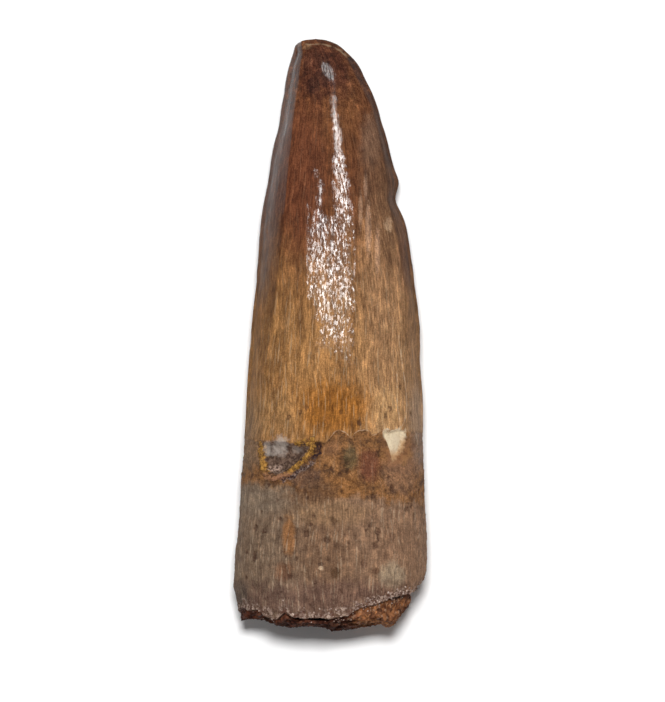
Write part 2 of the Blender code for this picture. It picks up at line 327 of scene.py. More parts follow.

# Soft stains on the crown, and one painted reflection: middle and half size along X and Y, colour,
# strength, softness and fray.
CROWN_STAINS = (
    ((-3.4, 18.0), (2.4, 9.0), (0.115, 0.034, 0.015), 0.70, 1.2, 0.20),
    ((1.6, 26.0), (2.0, 5.0), (0.148, 0.058, 0.020), 0.65, 1.2, 0.20),
    ((4.9, 22.8), (1.2, 3.0), (0.215, 0.135, 0.092), 0.50, 1.0, 0.25),
    ((5.4, 18.4), (1.8, 5.6), (0.105, 0.054, 0.030), 0.60, 1.2, 0.25),
    ((6.5, 6.0), (2.6, 9.0), (0.270, 0.150, 0.078), 0.55, 1.3, 0.20),
    ((-0.8, 31.4), (3.4, 3.4), (0.060, 0.016, 0.008), 0.92, 0.9, 0.35),
    ((-2.1, 29.2), (0.65, 1.1), (0.034, 0.010, 0.007), 0.65, 0.9, 0.40),
    ((-0.6, 31.0), (0.9, 1.7), (0.040, 0.012, 0.008), 0.60, 0.9, 0.50),
    ((-2.2, 32.6), (0.9, 0.7), (0.115, 0.040, 0.022), 0.50, 0.8, 0.40),
    ((7.0, 14.5), (1.3, 6.5), (0.115, 0.058, 0.030), 0.65, 1.0, 0.25),
    # Painted reflection of the pale floor: grey along the right edge at the crown's foot.
    ((10.3, -9.5), (1.0, 3.5), (0.270, 0.200, 0.150), 0.45, 0.9, 0.30),
    ((-9.8, -10.8), (2.0, 2.6), (0.180, 0.112, 0.062), 0.70, 1.0, 0.25),
    ((4.5, 12.4), (0.35, 3.0), (0.350, 0.220, 0.145), 0.55, 0.8, 0.40),
    ((5.6, 9.8), (0.30, 2.6), (0.340, 0.210, 0.140), 0.50, 0.8, 0.40),
    ((8.9, 9.0), (0.8, 3.6), (0.125, 0.052, 0.030), 0.50, 0.9, 0.25),
    ((3.6, 14.6), (0.25, 2.0), (0.320, 0.200, 0.130), 0.50, 0.8, 0.40),
    ((4.2, 17.6), (0.22, 1.6), (0.320, 0.205, 0.140), 0.45, 0.8, 0.40),
    ((-2.7, 34.0), (0.65, 0.30), (0.200, 0.115, 0.060), 0.50, 0.6, 0.20),
    ((6.9, 12.9), (0.45, 0.8), (0.430, 0.290, 0.180), 0.60, 0.8, 0.50),
    ((0.4, -8.8), (4.4, 3.2), (0.250, 0.096, 0.014), 0.90, 1.0, 0.20),
    ((-6.2, -9.4), (3.0, 2.4), (0.270, 0.150, 0.062), 0.60, 1.0, 0.20),
    ((6.6, -8.8), (1.8, 2.8), (0.370, 0.220, 0.100), 0.65, 0.9, 0.20),
)
# The same on the neck and the root, with one more painted reflection.
ROOT_STAINS = (
    ((-0.6, -25.5), (3.4, 5.5), (0.150, 0.076, 0.040), 0.55, 1.0, 0.25),
    ((0.0, -20.9), (4.6, 1.5), (0.270, 0.160, 0.082), 0.55, 0.9, 0.25),
    ((-8.4, -19.4), (3.0, 1.8), (0.230, 0.175, 0.125), 0.60, 0.9, 0.25),
    ((-4.85, -23.7), (0.75, 2.3), (0.260, 0.110, 0.035), 0.75, 0.8, 0.25),
    ((-5.5, -27.9), (1.1, 1.1), (0.160, 0.070, 0.036), 0.70, 0.9, 0.30),
    ((7.3, -28.4), (1.5, 1.5), (0.300, 0.235, 0.160), 0.70, 0.8, 0.25),
    ((0.6, -28.1), (0.55, 0.6), (0.090, 0.045, 0.022), 0.85, 0.6, 0.20),
    ((-1.05, -27.0), (0.40, 0.22), (0.080, 0.045, 0.030), 0.80, 0.5, 0.15),
    ((-1.05, -27.45), (0.32, 0.26), (0.420, 0.300, 0.200), 0.85, 0.5, 0.12),
    ((4.0, -27.0), (0.40, 0.6), (0.100, 0.050, 0.032), 0.75, 0.6, 0.20),
    ((7.3, -23.8), (0.35, 0.6), (0.100, 0.050, 0.032), 0.65, 0.6, 0.20),
    ((6.6, -26.0), (0.45, 0.5), (0.100, 0.052, 0.032), 0.65, 0.6, 0.20),
    ((5.4, -27.8), (0.45, 0.4), (0.110, 0.052, 0.030), 0.65, 0.6, 0.20),
    ((0.0, -31.2), (13.0, 2.2), (0.112, 0.060, 0.047), 0.70, 1.0, 0.35),
    # Painted reflection of the pale floor: grey along the right edge at the neck.
    ((10.3, -13.0), (1.0, 2.8), (0.250, 0.185, 0.150), 0.55, 0.9, 0.30),
    ((-10.6, -31.0), (0.9, 1.9), (0.085, 0.065, 0.050), 0.70, 0.8, 0.20),
    ((4.6, -15.5), (1.2, 1.9), (0.150, 0.050, 0.028), 0.80, 0.8, 0.30),
    ((2.4, -14.5), (0.8, 1.4), (0.095, 0.070, 0.034), 0.75, 0.7, 0.30),
    ((0.2, -13.4), (0.9, 0.9), (0.290, 0.140, 0.065), 0.60, 0.8, 0.40),
    ((1.6, -18.0), (2.4, 1.2), (0.240, 0.105, 0.032), 0.60, 0.9, 0.30),
    ((-2.7, -16.8), (1.8, 1.3), (0.085, 0.050, 0.040), 0.60, 0.8, 0.35),
    ((8.6, -15.4), (1.6, 1.0), (0.190, 0.085, 0.040), 0.50, 0.8, 0.35),
    ((-1.4, -18.2), (2.2, 1.2), (0.100, 0.052, 0.028), 0.65, 0.9, 0.30),
    ((-2.4, -19.0), (2.8, 0.9), (0.150, 0.070, 0.030), 0.50, 0.9, 0.30),
    ((8.3, -16.4), (2.0, 2.4), (0.290, 0.160, 0.095), 0.55, 0.9, 0.30),
    ((-10.0, -13.2), (2.2, 2.6), (0.205, 0.130, 0.078), 0.80, 0.9, 0.25),
)
# Where the stains lie along Z, how far they reach there, and how fine their edges are.
STAIN_LEVEL = 12.0
STAIN_HALF_DEPTH = 25.0
STAIN_GRAIN = 0.9
# Pale smears over the neck's chip: middle, half size and strength.
SMEARS = (
    ((-7.35, -13.4), (0.45, 0.8), 0.65),
    ((-5.8, -13.1), (0.8, 1.15), 0.80),
    ((-6.6, -13.9), (0.9, 0.35), 0.50),
    ((-3.9, -13.6), (0.6, 0.4), 0.35),
)
# Where the chip's floor has crumbs, the neck is rusty, the scallops' lips have a painted highlight
# and the rock is orange: middle and half size, fray, grain and softness.
CHIP_CRUMBS = ((-6.5, -15.8), (1.0, 0.5), 0.5, 1.6, 0.8)
RUSTY_PATCH = ((8.6, -13.3), (1.4, 1.8), 0.4, 1.0, 0.9)
SCALLOP_HIGHLIGHT_AREA = ((3.2, -11.6), (3.6, 1.6), 0.1, 1.0, 0.4)
ORANGE_ROCK = ((6.6, -33.0), (3.6, 2.2), 0.3, 0.8, 0.9)
# Masks from the marks on the mesh: fray, grain, softness, and how far they reach past the line.
MASKS = {
    "flank": (0.05, 1.5, 0.15, 0.0),
    "enamel": (0.16, 2.2, 0.25, 0.0),
    "neck_chip": (0.30, 1.8, 0.30, 0.0),
    "cream_chip": (0.26, 2.0, 0.45, 0.0),
    "ochre_crust": (0.42, 2.6, 0.25, 0.0),
    "dark_groove": (0.35, 1.8, 0.30, 0.0),
    "cracks_and_glint": (0.05, 2.0, 0.08, 0.06),
    "worn_tip_line": (0.10, 2.0, 0.14, 0.07),
    "pit": (0.16, 3.0, 0.16, 0.0),
    "broken": (0.25, 2.0, 0.30, 0.0),
}
RUSTED_RIM_MASK = (1.1, 1.2, 0.5, 0.35)
FRINGE_MASK = (1.1, 0.7, 0.8, 0.9)
# The painted highlight on the scallops' lips: its mask's fray, grain and softness, and half width.
SCALLOP_HIGHLIGHT_MASK = (0.07, 2.4, 0.1)
SCALLOP_HIGHLIGHT_HALF_WIDTH = 0.05

# Factors for a darker and a lighter tone of any colour, and what a lighter one gains besides.
DARKER = (0.42, 0.35, 0.32)
LIGHTER = (1.75, 1.68, 1.58)
PALER = (0.018, 0.013, 0.008)
# Colours of the finishes, in linear red, green and blue. A pair of tones goes from dark to pale.
TAN_ENAMEL = (0.340, 0.205, 0.110)
SHADED_ENAMEL = (0.50, 0.45, 0.43)
PALE_HAIRS = (0.46, 0.33, 0.20)
PINK_ROOT = (0.235, 0.136, 0.082)
DARK_NECK = (0.090, 0.043, 0.020)
ORANGE_NECK = (0.300, 0.165, 0.072)
ROOT_HAIRS = (0.50, 0.38, 0.26)
ROOT_PORES = (0.060, 0.030, 0.020)
PIT_FLOOR = (0.068, 0.030, 0.018)
CHIP_TONES = ((0.075, 0.042, 0.028), (0.215, 0.135, 0.095))
CHIP_HOLES = (0.050, 0.028, 0.022)
CHIP_CRUMB = (0.52, 0.36, 0.28)
GROOVE_TONES = ((0.022, 0.010, 0.013), (0.30, 0.21, 0.17))
CRUST_TONES = ((0.125, 0.053, 0.014), (0.600, 0.310, 0.070))
PINK_CRUST = (0.400, 0.190, 0.115)
PALE_SMEAR = (0.44, 0.375, 0.325)
RUST_TONES = ((0.150, 0.060, 0.025), (0.380, 0.190, 0.070))
CREAM_TONES = ((0.66, 0.47, 0.27), (0.86, 0.71, 0.50))
RUSTY_CREAM = (0.500, 0.270, 0.115)
CREAM_HALO = (0.300, 0.135, 0.062)
# Pale cracks, and the painted glint at the right edge.
PALE_CRACKS_AND_GLINT = (0.56, 0.42, 0.29)
WORN_EDGE = (0.36, 0.25, 0.15)
# A painted highlight on the lips of the enamel's scallops.
PAINTED_SCALLOP_HIGHLIGHT = (0.55, 0.38, 0.25)
RUSTED_RIM = (0.098, 0.038, 0.026)
FRINGE_TONES = ((0.110, 0.060, 0.042), (0.480, 0.350, 0.280))
DENTINE_TONES = ((0.050, 0.024, 0.016), (0.240, 0.140, 0.095))
DARK_ROCK = (0.032, 0.010, 0.006)
ORANGE_GRAINS = (0.380, 0.160, 0.065)
PALE_ROCK_GRAINS = (0.42, 0.25, 0.15)
ROCK_PORES = (0.016, 0.007, 0.006)
LOOSE_GRAIN_TONES = ((0.13, 0.06, 0.04), (0.52, 0.38, 0.30))


def smooth(low, high, value):
    """0 below low, 1 above high, and a smooth rise between them."""
    f = np.clip((value - low) / (high - low), 0.0, 1.0)
    return f * f * (3.0 - 2.0 * f)


def bell(distance):
    """1 at no distance, falling smoothly to nothing at about 2."""
    return np.exp(-distance * distance)


def angle_between(a, b):
    """Smallest angle between two directions, in degrees."""
    return np.abs((a - b + 180.0) % 360.0 - 180.0)


def rough(points, size, seed=0.0, decay=0.8):
    """Fractal noise from about -1 to 1 at each point, with lumps of that size."""
    places = points / size + seed
    return np.array([noise.fractal(Vector(p), decay, 2.0, 3) for p in places])


def cells(points, size):
    """Distance from each point to the middle of its grain, in grain sizes."""
    return np.array([noise.voronoi(Vector(p))[0][0] for p in points / size])


def line_through(points, where):
    """Height of the open line through the points at those places."""
    places, heights = zip(*points)
    return np.interp(where, places, heights)


def distance_to_line(x, y, points, closed=False):
    """Distance from each place to the nearest point of a line through the points."""
    points = np.array(points, float)
    ends = np.roll(points, -1, axis=0) if closed else points[1:]
    nearest = np.full(x.shape, np.inf)
    for (ax, ay), (bx, by) in zip(points, ends):
        run = (bx - ax) ** 2 + (by - ay) ** 2
        f = np.clip(((x - ax) * (bx - ax) + (y - ay) * (by - ay)) / run, 0.0, 1.0)
        nearest = np.minimum(nearest, np.hypot(x - ax - f * (bx - ax), y - ay - f * (by - ay)))
    return nearest


def depth_inside(x, y, outline):
    """How far inside the closed outline each place is, and below 0 outside it."""
    points = np.array(outline, float)
    inside = np.zeros(x.shape, bool)
    for (ax, ay), (bx, by) in zip(points, np.roll(points, -1, axis=0)):
        if ay != by:
            inside ^= ((ay > y) != (by > y)) & (x < (bx - ax) * (y - ay) / (by - ay) + ax)
    distance = distance_to_line(x, y, points, closed=True)
    return np.where(inside, distance, -distance)


class SmoothCurve:
    """A smooth curve through points, measured by its length from the first one."""

    def __init__(self, points):
        self.points = np.array(points, float)
        steps = np.linalg.norm(np.diff(self.points, axis=0), axis=1)
        self.knots = np.concatenate([[0.0], np.cumsum(steps)])
        self.slopes = np.gradient(self.points, self.knots, axis=0)
        self.length = float(self.knots[-1])

    def at(self, distance):
        """The points that far along the curve, one row each."""
        i = np.searchsorted(self.knots, distance, side="right") - 1
        i = np.clip(i, 0, len(self.knots) - 2)
        step = (self.knots[i + 1] - self.knots[i])[:, None]
        f = (distance - self.knots[i])[:, None] / step
        start = (1 + 2 * f) * self.points[i] + f * step * self.slopes[i]
        end = (3 - 2 * f) * self.points[i + 1] - (1 - f) * step * self.slopes[i + 1]
        return start * (1 - f) ** 2 + end * f * f


FORM = SmoothCurve(STATIONS)


def oval(middle_x, middle_z, half_width, half_height, angle):
    """Points on an oval that is a little fuller than an ellipse."""
    c, s = np.cos(angle), np.sin(angle)
    fullness = np.abs(c) ** SECTION_FULLNESS + np.abs(s) ** SECTION_FULLNESS
    radius = fullness ** (-1.0 / SECTION_FULLNESS)
    return middle_x + half_width * c * radius, middle_z + half_height * s * radius


def rim_at(angle):
    """How far along the root's broken wall ends at each angle round it."""
    return line_through(BROKEN_RIM, np.degrees(angle) % 360.0)


def ring_distances(rings):
    """Distance from the tip of each ring of the outside, crowded where the finest marks are."""
    fine = np.linspace(0.0, FORM.length, RING_SAMPLES)
    along = FORM.at(fine)[:, 0]
    crowding = np.full(fine.shape, PLAIN_RINGS_PER_MM)
    for low, high, rings_per_mm in RING_ZONES:
        crowding[(along > low) & (along <= high)] = rings_per_mm
    window = np.ones(2 * ZONE_BLUR + 1) / (2 * ZONE_BLUR + 1)
    crowding = np.convolve(np.pad(crowding, ZONE_BLUR, mode="edge"), window, "valid")
    share = np.concatenate([[0.0], np.cumsum((crowding[1:] + crowding[:-1]) / 2)])
    return np.interp(np.linspace(0.0, 1.0, rings + 1), share / share[-1], fine)


def marks_on(x, along, upward):
    """Signed distances to the marks' outlines, in millimetres, above 0 inside each mark."""
    found = {
        "neck_chip": depth_inside(x, along, NECK_CHIP),
        "cream_chip": depth_inside(x, along, CREAM_CHIP),
    }
    lines = (
        ("ochre_crust", OCHRE_LINES, CRUST_HALF_WIDTH),
        ("dark_groove", DARK_GROOVE, GROOVE_HALF_WIDTH),
        ("cracks_and_glint", CRACKS_AND_GLINT, 0.0),
        ("worn_tip_line", WORN_TIP_LINE, 0.0),
    )
    for name, strokes, half_width in lines:
        nearest = [distance_to_line(x, along, stroke) for stroke in strokes]
        found[name] = half_width - np.min(nearest, axis=0)
    polished = [half - distance_to_line(x, along, stroke) for stroke, half in POLISHED]
    found["polish"] = np.max(polished, axis=0)
    found = {name: np.where(upward > 0, d, -FAR) for name, d in found.items()}
    left = line_through([(y, x) for x, y in reversed(LEFT_CREASE)], along) - x
    right = x - line_through([(y, x) for x, y in reversed(RIGHT_CREASE)], along)
    found["flank"] = np.where(upward > 0, np.maximum(left, right), 1.0)
    found["enamel"] = along - line_through(ENAMEL_EDGE, x)
    return {name: np.clip(d, -FAR, FAR) for name, d in found.items()}


def tooth_relief(x, along, angle, half_width, marks):
    """How far the surface stands out at each point, in millimetres."""
    degrees = np.degrees(angle) % 360.0
    upward = np.sin(angle)
    space = np.stack([x, along, upward * half_width], axis=1)
    height = WAVINESS * rough(space, WAVE_SIZE)
    below = -marks["enamel"]
    sink = sum(share * smooth(0.0, length, below) for share, length in NECK_STEPS)
    sink *= 1.0 - smooth(*NECK_END, below)
    around = NECK_SINK_AT_SIDES + (1.0 - NECK_SINK_AT_SIDES) * np.abs(upward)
    height -= NECK_SINK * sink * around
    crown = smooth(*CROWN_FOOT, along) * (1.0 - smooth(*CROWN_TOP, along))
    edge = np.minimum(angle_between(degrees, 0.0), angle_between(degrees, 180.0))
    across = np.radians(edge) * half_width / CARINA_HALF_WIDTH
    height -= CARINA_HEIGHT * crown * (1.0 - bell(across))
    for flute in FLUTE_ANGLES:
        height -= FLUTE_DEPTH * crown * bell(angle_between(degrees, flute) / FLUTE_HALF_ANGLE)
    for share, forms in ((1.0, BROAD_MARKS), (DENT_SHARE, DENTS)):
        for (middle_x, middle_y), (half_x, half_y), size in forms:
            far = np.hypot((x - middle_x) / half_x, (along - middle_y) / half_y)
            form = share * size * (1.0 - smooth(*DENT_EDGE, far))
            height += np.where(upward > 0, form, 0.0)
    for side, middle_y, half_length, size in EDGE_MARKS:
        across = angle_between(degrees, side) / EDGE_MARK_HALF_ANGLE
        height += size * bell((along - middle_y) / half_length) * bell(across)
    return height


def pit_depths(unrolled, half_width):
    """How far inside the nearest pit each place is, in millimetres, and below 0 outside them."""
    random = np.random.default_rng(PIT_SEED)
    turns = random.uniform(0.0, math.tau, ROOT_PITS)
    alongs = random.uniform(*ROOT_PIT_ENDS, ROOT_PITS)
    small, large = ROOT_PIT_RADII
    radii = small + (large - small) * random.uniform(0.0, 1.0, ROOT_PITS) ** 2
    pits = list(zip(turns, alongs, radii))
    pits += [(math.acos(x / half_width), y, CROWN_PIT_RADIUS) for x, y in CROWN_PITS]
    nearest = np.full(len(unrolled), -FAR)
    for turn, y, radius in pits:
        middle = (UNROLLED_RADIUS * math.cos(turn), y, UNROLLED_RADIUS * math.sin(turn))
        near = np.abs(unrolled[:, 1] - y) < FAR / 4
        away = (unrolled[near] - middle) / (1.0, PIT_STRETCH, 1.0)
        nearest[near] = np.maximum(nearest[near], radius - np.linalg.norm(away, axis=1))
    return nearest


def crown_forms(x, along):
    """The crown's low ridges, and the flat facet that they frame."""
    height = np.zeros(x.shape)
    for points, half_width, size in RIDGES:
        height += size * bell(distance_to_line(x, along, points) / half_width)
    (low, lower), (upper, high) = FACET_ENDS
    facet = smooth(low, lower, along) * (1.0 - smooth(upper, high, along))
    facet *= np.maximum(0.0, 1.0 - (x / FACET_HALF_WIDTH) ** 2)
    return height - FACET_DEPTH * facet


def furrows(unrolled, size, stretch, seed):
    """Noise drawn out along the tooth."""
    return rough(unrolled * (1.0, stretch, 1.0), size, seed)


def fine_relief(space, unrolled, marks, upward, to_rim):
    """The fine relief: furrows, low forms, the chips' floors, crust, groove and frayed rim."""
    crown = smooth(*ENAMEL_BLEND, marks["enamel"])
    height = crown * CROWN_FURROW_HEIGHT * furrows(unrolled, *CROWN_FURROWS)
    turned_down = np.clip(marks["flank"], 0.0, CREASE_REACH)
    turned_down *= np.clip(upward * CREASE_FADE, 0.0, 1.0)
    height -= crown * CREASE_SLOPE * turned_down
    height += np.where(upward > 0, crown * crown_forms(space[:, 0], space[:, 1]), 0.0)
    height += (1.0 - crown) * ROOT_FURROW_HEIGHT * furrows(unrolled, *ROOT_FURROWS)
    grit = rough(space, GRIT_SIZE, GRIT_SEED)
    neck = (1.0 - crown) * (1.0 - smooth(*NECK_GRIT_END, -marks["enamel"]))
    height += neck * NECK_GRIT * grit

    def share_in(name):
        """How far down or up that mark's wall each place is, from 0 to 1."""
        start, end, raggedness = MARK_WALLS[name]
        return smooth(start, end, marks[name] + raggedness * grit)

    height -= PIT_DEPTH * share_in("pit")
    height -= share_in("neck_chip") * (CHIP_DEPTH + CHIP_GRIT * grit)
    height -= share_in("cream_chip") * (CREAM_DEPTH + CREAM_GRIT * grit)
    crust = share_in("ochre_crust")
    height += crust * (CRUST_HEIGHT + CRUST_GRIT * grit)
    height -= share_in("dark_groove") * (1.0 - crust) * GROOVE_DEPTH
    near_rim = 1.0 - smooth(*RIM_WEAR_REACH, to_rim)
    return height - near_rim * (RIM_WEAR + RIM_GRIT * np.abs(grit))


def ringed_mesh(name, sides, rings):
    """A closed mesh of rings from pole to pole, with each corner's ring and angle."""
    bm = bmesh.new()
    bmesh.ops.create_uvsphere(bm, u_segments=sides, v_segments=rings, radius=1.0)
    mesh = bpy.data.meshes.new(name)
    bm.to_mesh(mesh)
    bm.free()
    co = np.empty(len(mesh.vertices) * 3, np.float32)
    mesh.vertices.foreach_get("co", co)
    co = co.reshape(-1, 3).astype(float)
    ring = np.rint(np.arccos(np.clip(co[:, 2], -1.0, 1.0)) / math.pi * rings).astype(int)
    return mesh, ring, np.arctan2(co[:, 1], co[:, 0])


def put_corners(mesh, points):
    """Moves the mesh's corners to those places in millimetres, with its faces outwards."""
    mesh.vertices.foreach_set("co", (points * MM).astype(np.float32).ravel())
    bm = bmesh.new()
    bm.from_mesh(mesh)
    if bm.calc_volume(signed=True) < 0:
        bmesh.ops.reverse_faces(bm, faces=bm.faces)
    bm.to_mesh(mesh)
    bm.free()
    mesh.shade_smooth()


def add_attribute(mesh, name, values, kind="FLOAT"):
    """Keeps one value for each corner of the mesh, for its material to read."""
    attribute = mesh.attributes.new(name, kind, "POINT")
    key = "value" if kind == "FLOAT" else "vector"
    attribute.data.foreach_set(key, np.asarray(values, np.float32).ravel())


def add_piece(name, mesh, material):
    """Puts the mesh in the scene as a piece that rides on the tooth's body."""
    mesh.materials.append(material)
    piece = bpy.data.objects.new(name, mesh)
    bpy.context.scene.collection.objects.link(piece)
    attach(piece, BODY)
    return piece


def hollow_points(angle, share, inset):
    """Points inset from the hollow's wall: share 0 at the broken rim to 1 at its inner end."""
    rim = rim_at(angle) - inset
    along = rim + (HOLLOW_INNER_Y - inset - rim) * share
    size = 1.0 + (HOLLOW_TAPER - 1.0) * share
    x, z = oval(
        *HOLLOW_MIDDLE,
        HOLLOW_HALF_WIDTH * size - inset,
        HOLLOW_HALF_HEIGHT * size - inset,
        angle,
    )
    return x, along, z


def section_at(distance, angle):
    """Where along, middle, half width and half height of the tooth's section at each point."""
    along, left, right, under, top = FORM.at(distance).T
    middle_z = under + WIDEST_LEVEL * (top - under)
    half_height = np.where(np.sin(angle) > 0, top - middle_z, middle_z - under)
    return along, (left + right) / 2, middle_z, np.maximum((right - left) / 2, 0.0), half_height


def make_tooth_mesh(settings):
    """The tooth's surface from the tip over the broken rim into the hollow, with its marks."""
    outside_rings = settings.rings - settings.wall_rings - settings.hollow_rings
    mesh, ring, turn = ringed_mesh("tooth_surface", settings.sides, settings.rings)
    angle = turn + UPPER_CROWDING * np.cos(turn)
    outside = ring <= outside_rings
    distance = ring_distances(outside_rings)[np.minimum(ring, outside_rings)]
    along, middle_x, middle_z, half_width, half_height = section_at(distance, angle)
    left_over = FORM.length - distance
    draw = np.maximum(0.0, 1.0 - left_over / RIM_REACH) ** 2
    along = along + (rim_at(angle) - STATIONS[-1][0]) * draw
    unrolled = np.stack(
        [UNROLLED_RADIUS * np.cos(angle), along, UNROLLED_RADIUS * np.sin(angle)], axis=1
    )
    fray = np.maximum(0.0, 1.0 - left_over / RIM_FRAY_REACH) ** 2
    along = along + RIM_FRAY * fray * furrows(unrolled, RIM_FRAY_SIZE, 0.0, RIM_FRAY_SEED)
    x, z = oval(middle_x, middle_z, half_width, half_height, angle)
    marks = marks_on(x, along, np.sin(angle))
    space = np.stack([x, along, z], axis=1)
    height = tooth_relief(x, along, angle, half_width, marks)
    marks["pit"] = pit_depths(unrolled, float(half_width.max()))
    height += fine_relief(space, unrolled, marks, np.sin(angle), left_over)
    height *= smooth(0.0, TIP_LENGTH, distance)
    x = x + height * np.cos(angle)
    z = np.maximum(z + height * np.sin(angle), 0.0)
    inward = np.clip((ring - outside_rings) / settings.wall_rings, 0.0, 1.0)
    deep = np.clip(
        (ring - outside_rings - settings.wall_rings) / (settings.hollow_rings - 1), 0.0, 1.0
    )
    hollow_x, hollow_along, hollow_z = hollow_points(angle, deep, 0.0)
    along = along + (hollow_along - along) * inward
    lumps = WALL_ROUGHNESS * rough(space, WALL_LUMP_SIZE, WALL_SEED) * np.sin(np.pi * inward)
    along = along + np.where(outside | (deep > 0), 0.0, lumps)
    x = x + (hollow_x - x) * inward
    z = z + (hollow_z - z) * inward
    pole = ring == settings.rings
    x[pole], z[pole] = HOLLOW_MIDDLE
    put_corners(mesh, np.stack([x, along, z], axis=1))
    for name, values in marks.items():
        add_attribute(mesh, name, np.where(outside, values, -FAR))
    add_attribute(mesh, "broken", np.where(outside, -left_over, PAST_RIM))
    add_attribute(mesh, "unrolled", unrolled, "FLOAT_VECTOR")
    return mesh


def make_rock_mesh(settings):
    """The sandstone: its rough end, the side back to the root's wall, and a stem in the hollow."""
    end_rings = settings.end_rings
    side_rings = settings.side_rings
    rings = end_rings + side_rings + STEM_RINGS
    mesh, ring, angle = ringed_mesh("sandstone_surface", settings.sides, rings)
    share = np.clip(ring / end_rings, 0.0, 1.0)
    side = np.clip((ring - end_rings) / side_rings, 0.0, 1.0)
    last = np.full(angle.shape, FORM.length)
    _, middle_x, middle_z, half_width, half_height = section_at(last, angle)
    toward_right = np.cos(angle)
    reach = np.where(toward_right > 0, CAP_RIGHT, CAP_LEFT) - CAP_UPRIGHT
    reach = CAP_UPRIGHT + reach * toward_right**2
    x, z = oval(middle_x, middle_z, half_width * reach * share, half_height * reach * share, angle)
    flat = np.stack([x, z, side], axis=1)
    dip = DIP_DEPTH * np.abs(rough(flat, DIP_SIZE, decay=DIP_DECAY))
    rim = rim_at(angle) - np.where(np.sin(angle) > 0, line_through(OPEN_GAP, x), OPEN_GAP[0][1])
    end = line_through(CAP_END, x) + CAP_END_ROUNDING * (share * np.sin(angle)) ** 2 + dip
    end = np.minimum(end, rim - CAP_LEAST_SIDE)
    along = end + (rim - end) * side
    inward = dip * share * (1.0 - side)
    space = np.stack([x, along, z], axis=1)
    bulge = 1.0 - np.minimum(cells(space, ROCK_GRAIN_WIDTH), 1.0) ** 2
    grain = ROCK_GRAIN_BULGE * bulge - ROCK_GRAIN_SINK
    grain += ROCK_ROUGHNESS * rough(space, ROCK_LUMP_SIZE, ROCK_SEED)
    grain *= 1.0 - smooth(*ROCK_SMOOTH_EDGE, side)
    x = x - (inward - grain) * np.cos(angle) * share
    z = z - (inward - grain) * np.sin(angle) * share
    along = along - grain * (1.0 - side) * (1.0 - share**4)
    z = np.maximum(z, SANDSTONE_LOWEST)
    into = ring - end_rings - side_rings - 1
    deep = np.clip(into / (STEM_RINGS - 2), 0.0, 1.0)
    stem_x, stem_along, stem_z = hollow_points(angle, deep, GAP)
    stem = into >= 0
    x = np.where(stem, stem_x, x)
    z = np.where(stem, stem_z, z)
    along = np.where(stem, stem_along, along)
    pole = ring == rings
    x[pole], z[pole] = HOLLOW_MIDDLE
    put_corners(mesh, np.stack([x, along, z], axis=1))
    return mesh


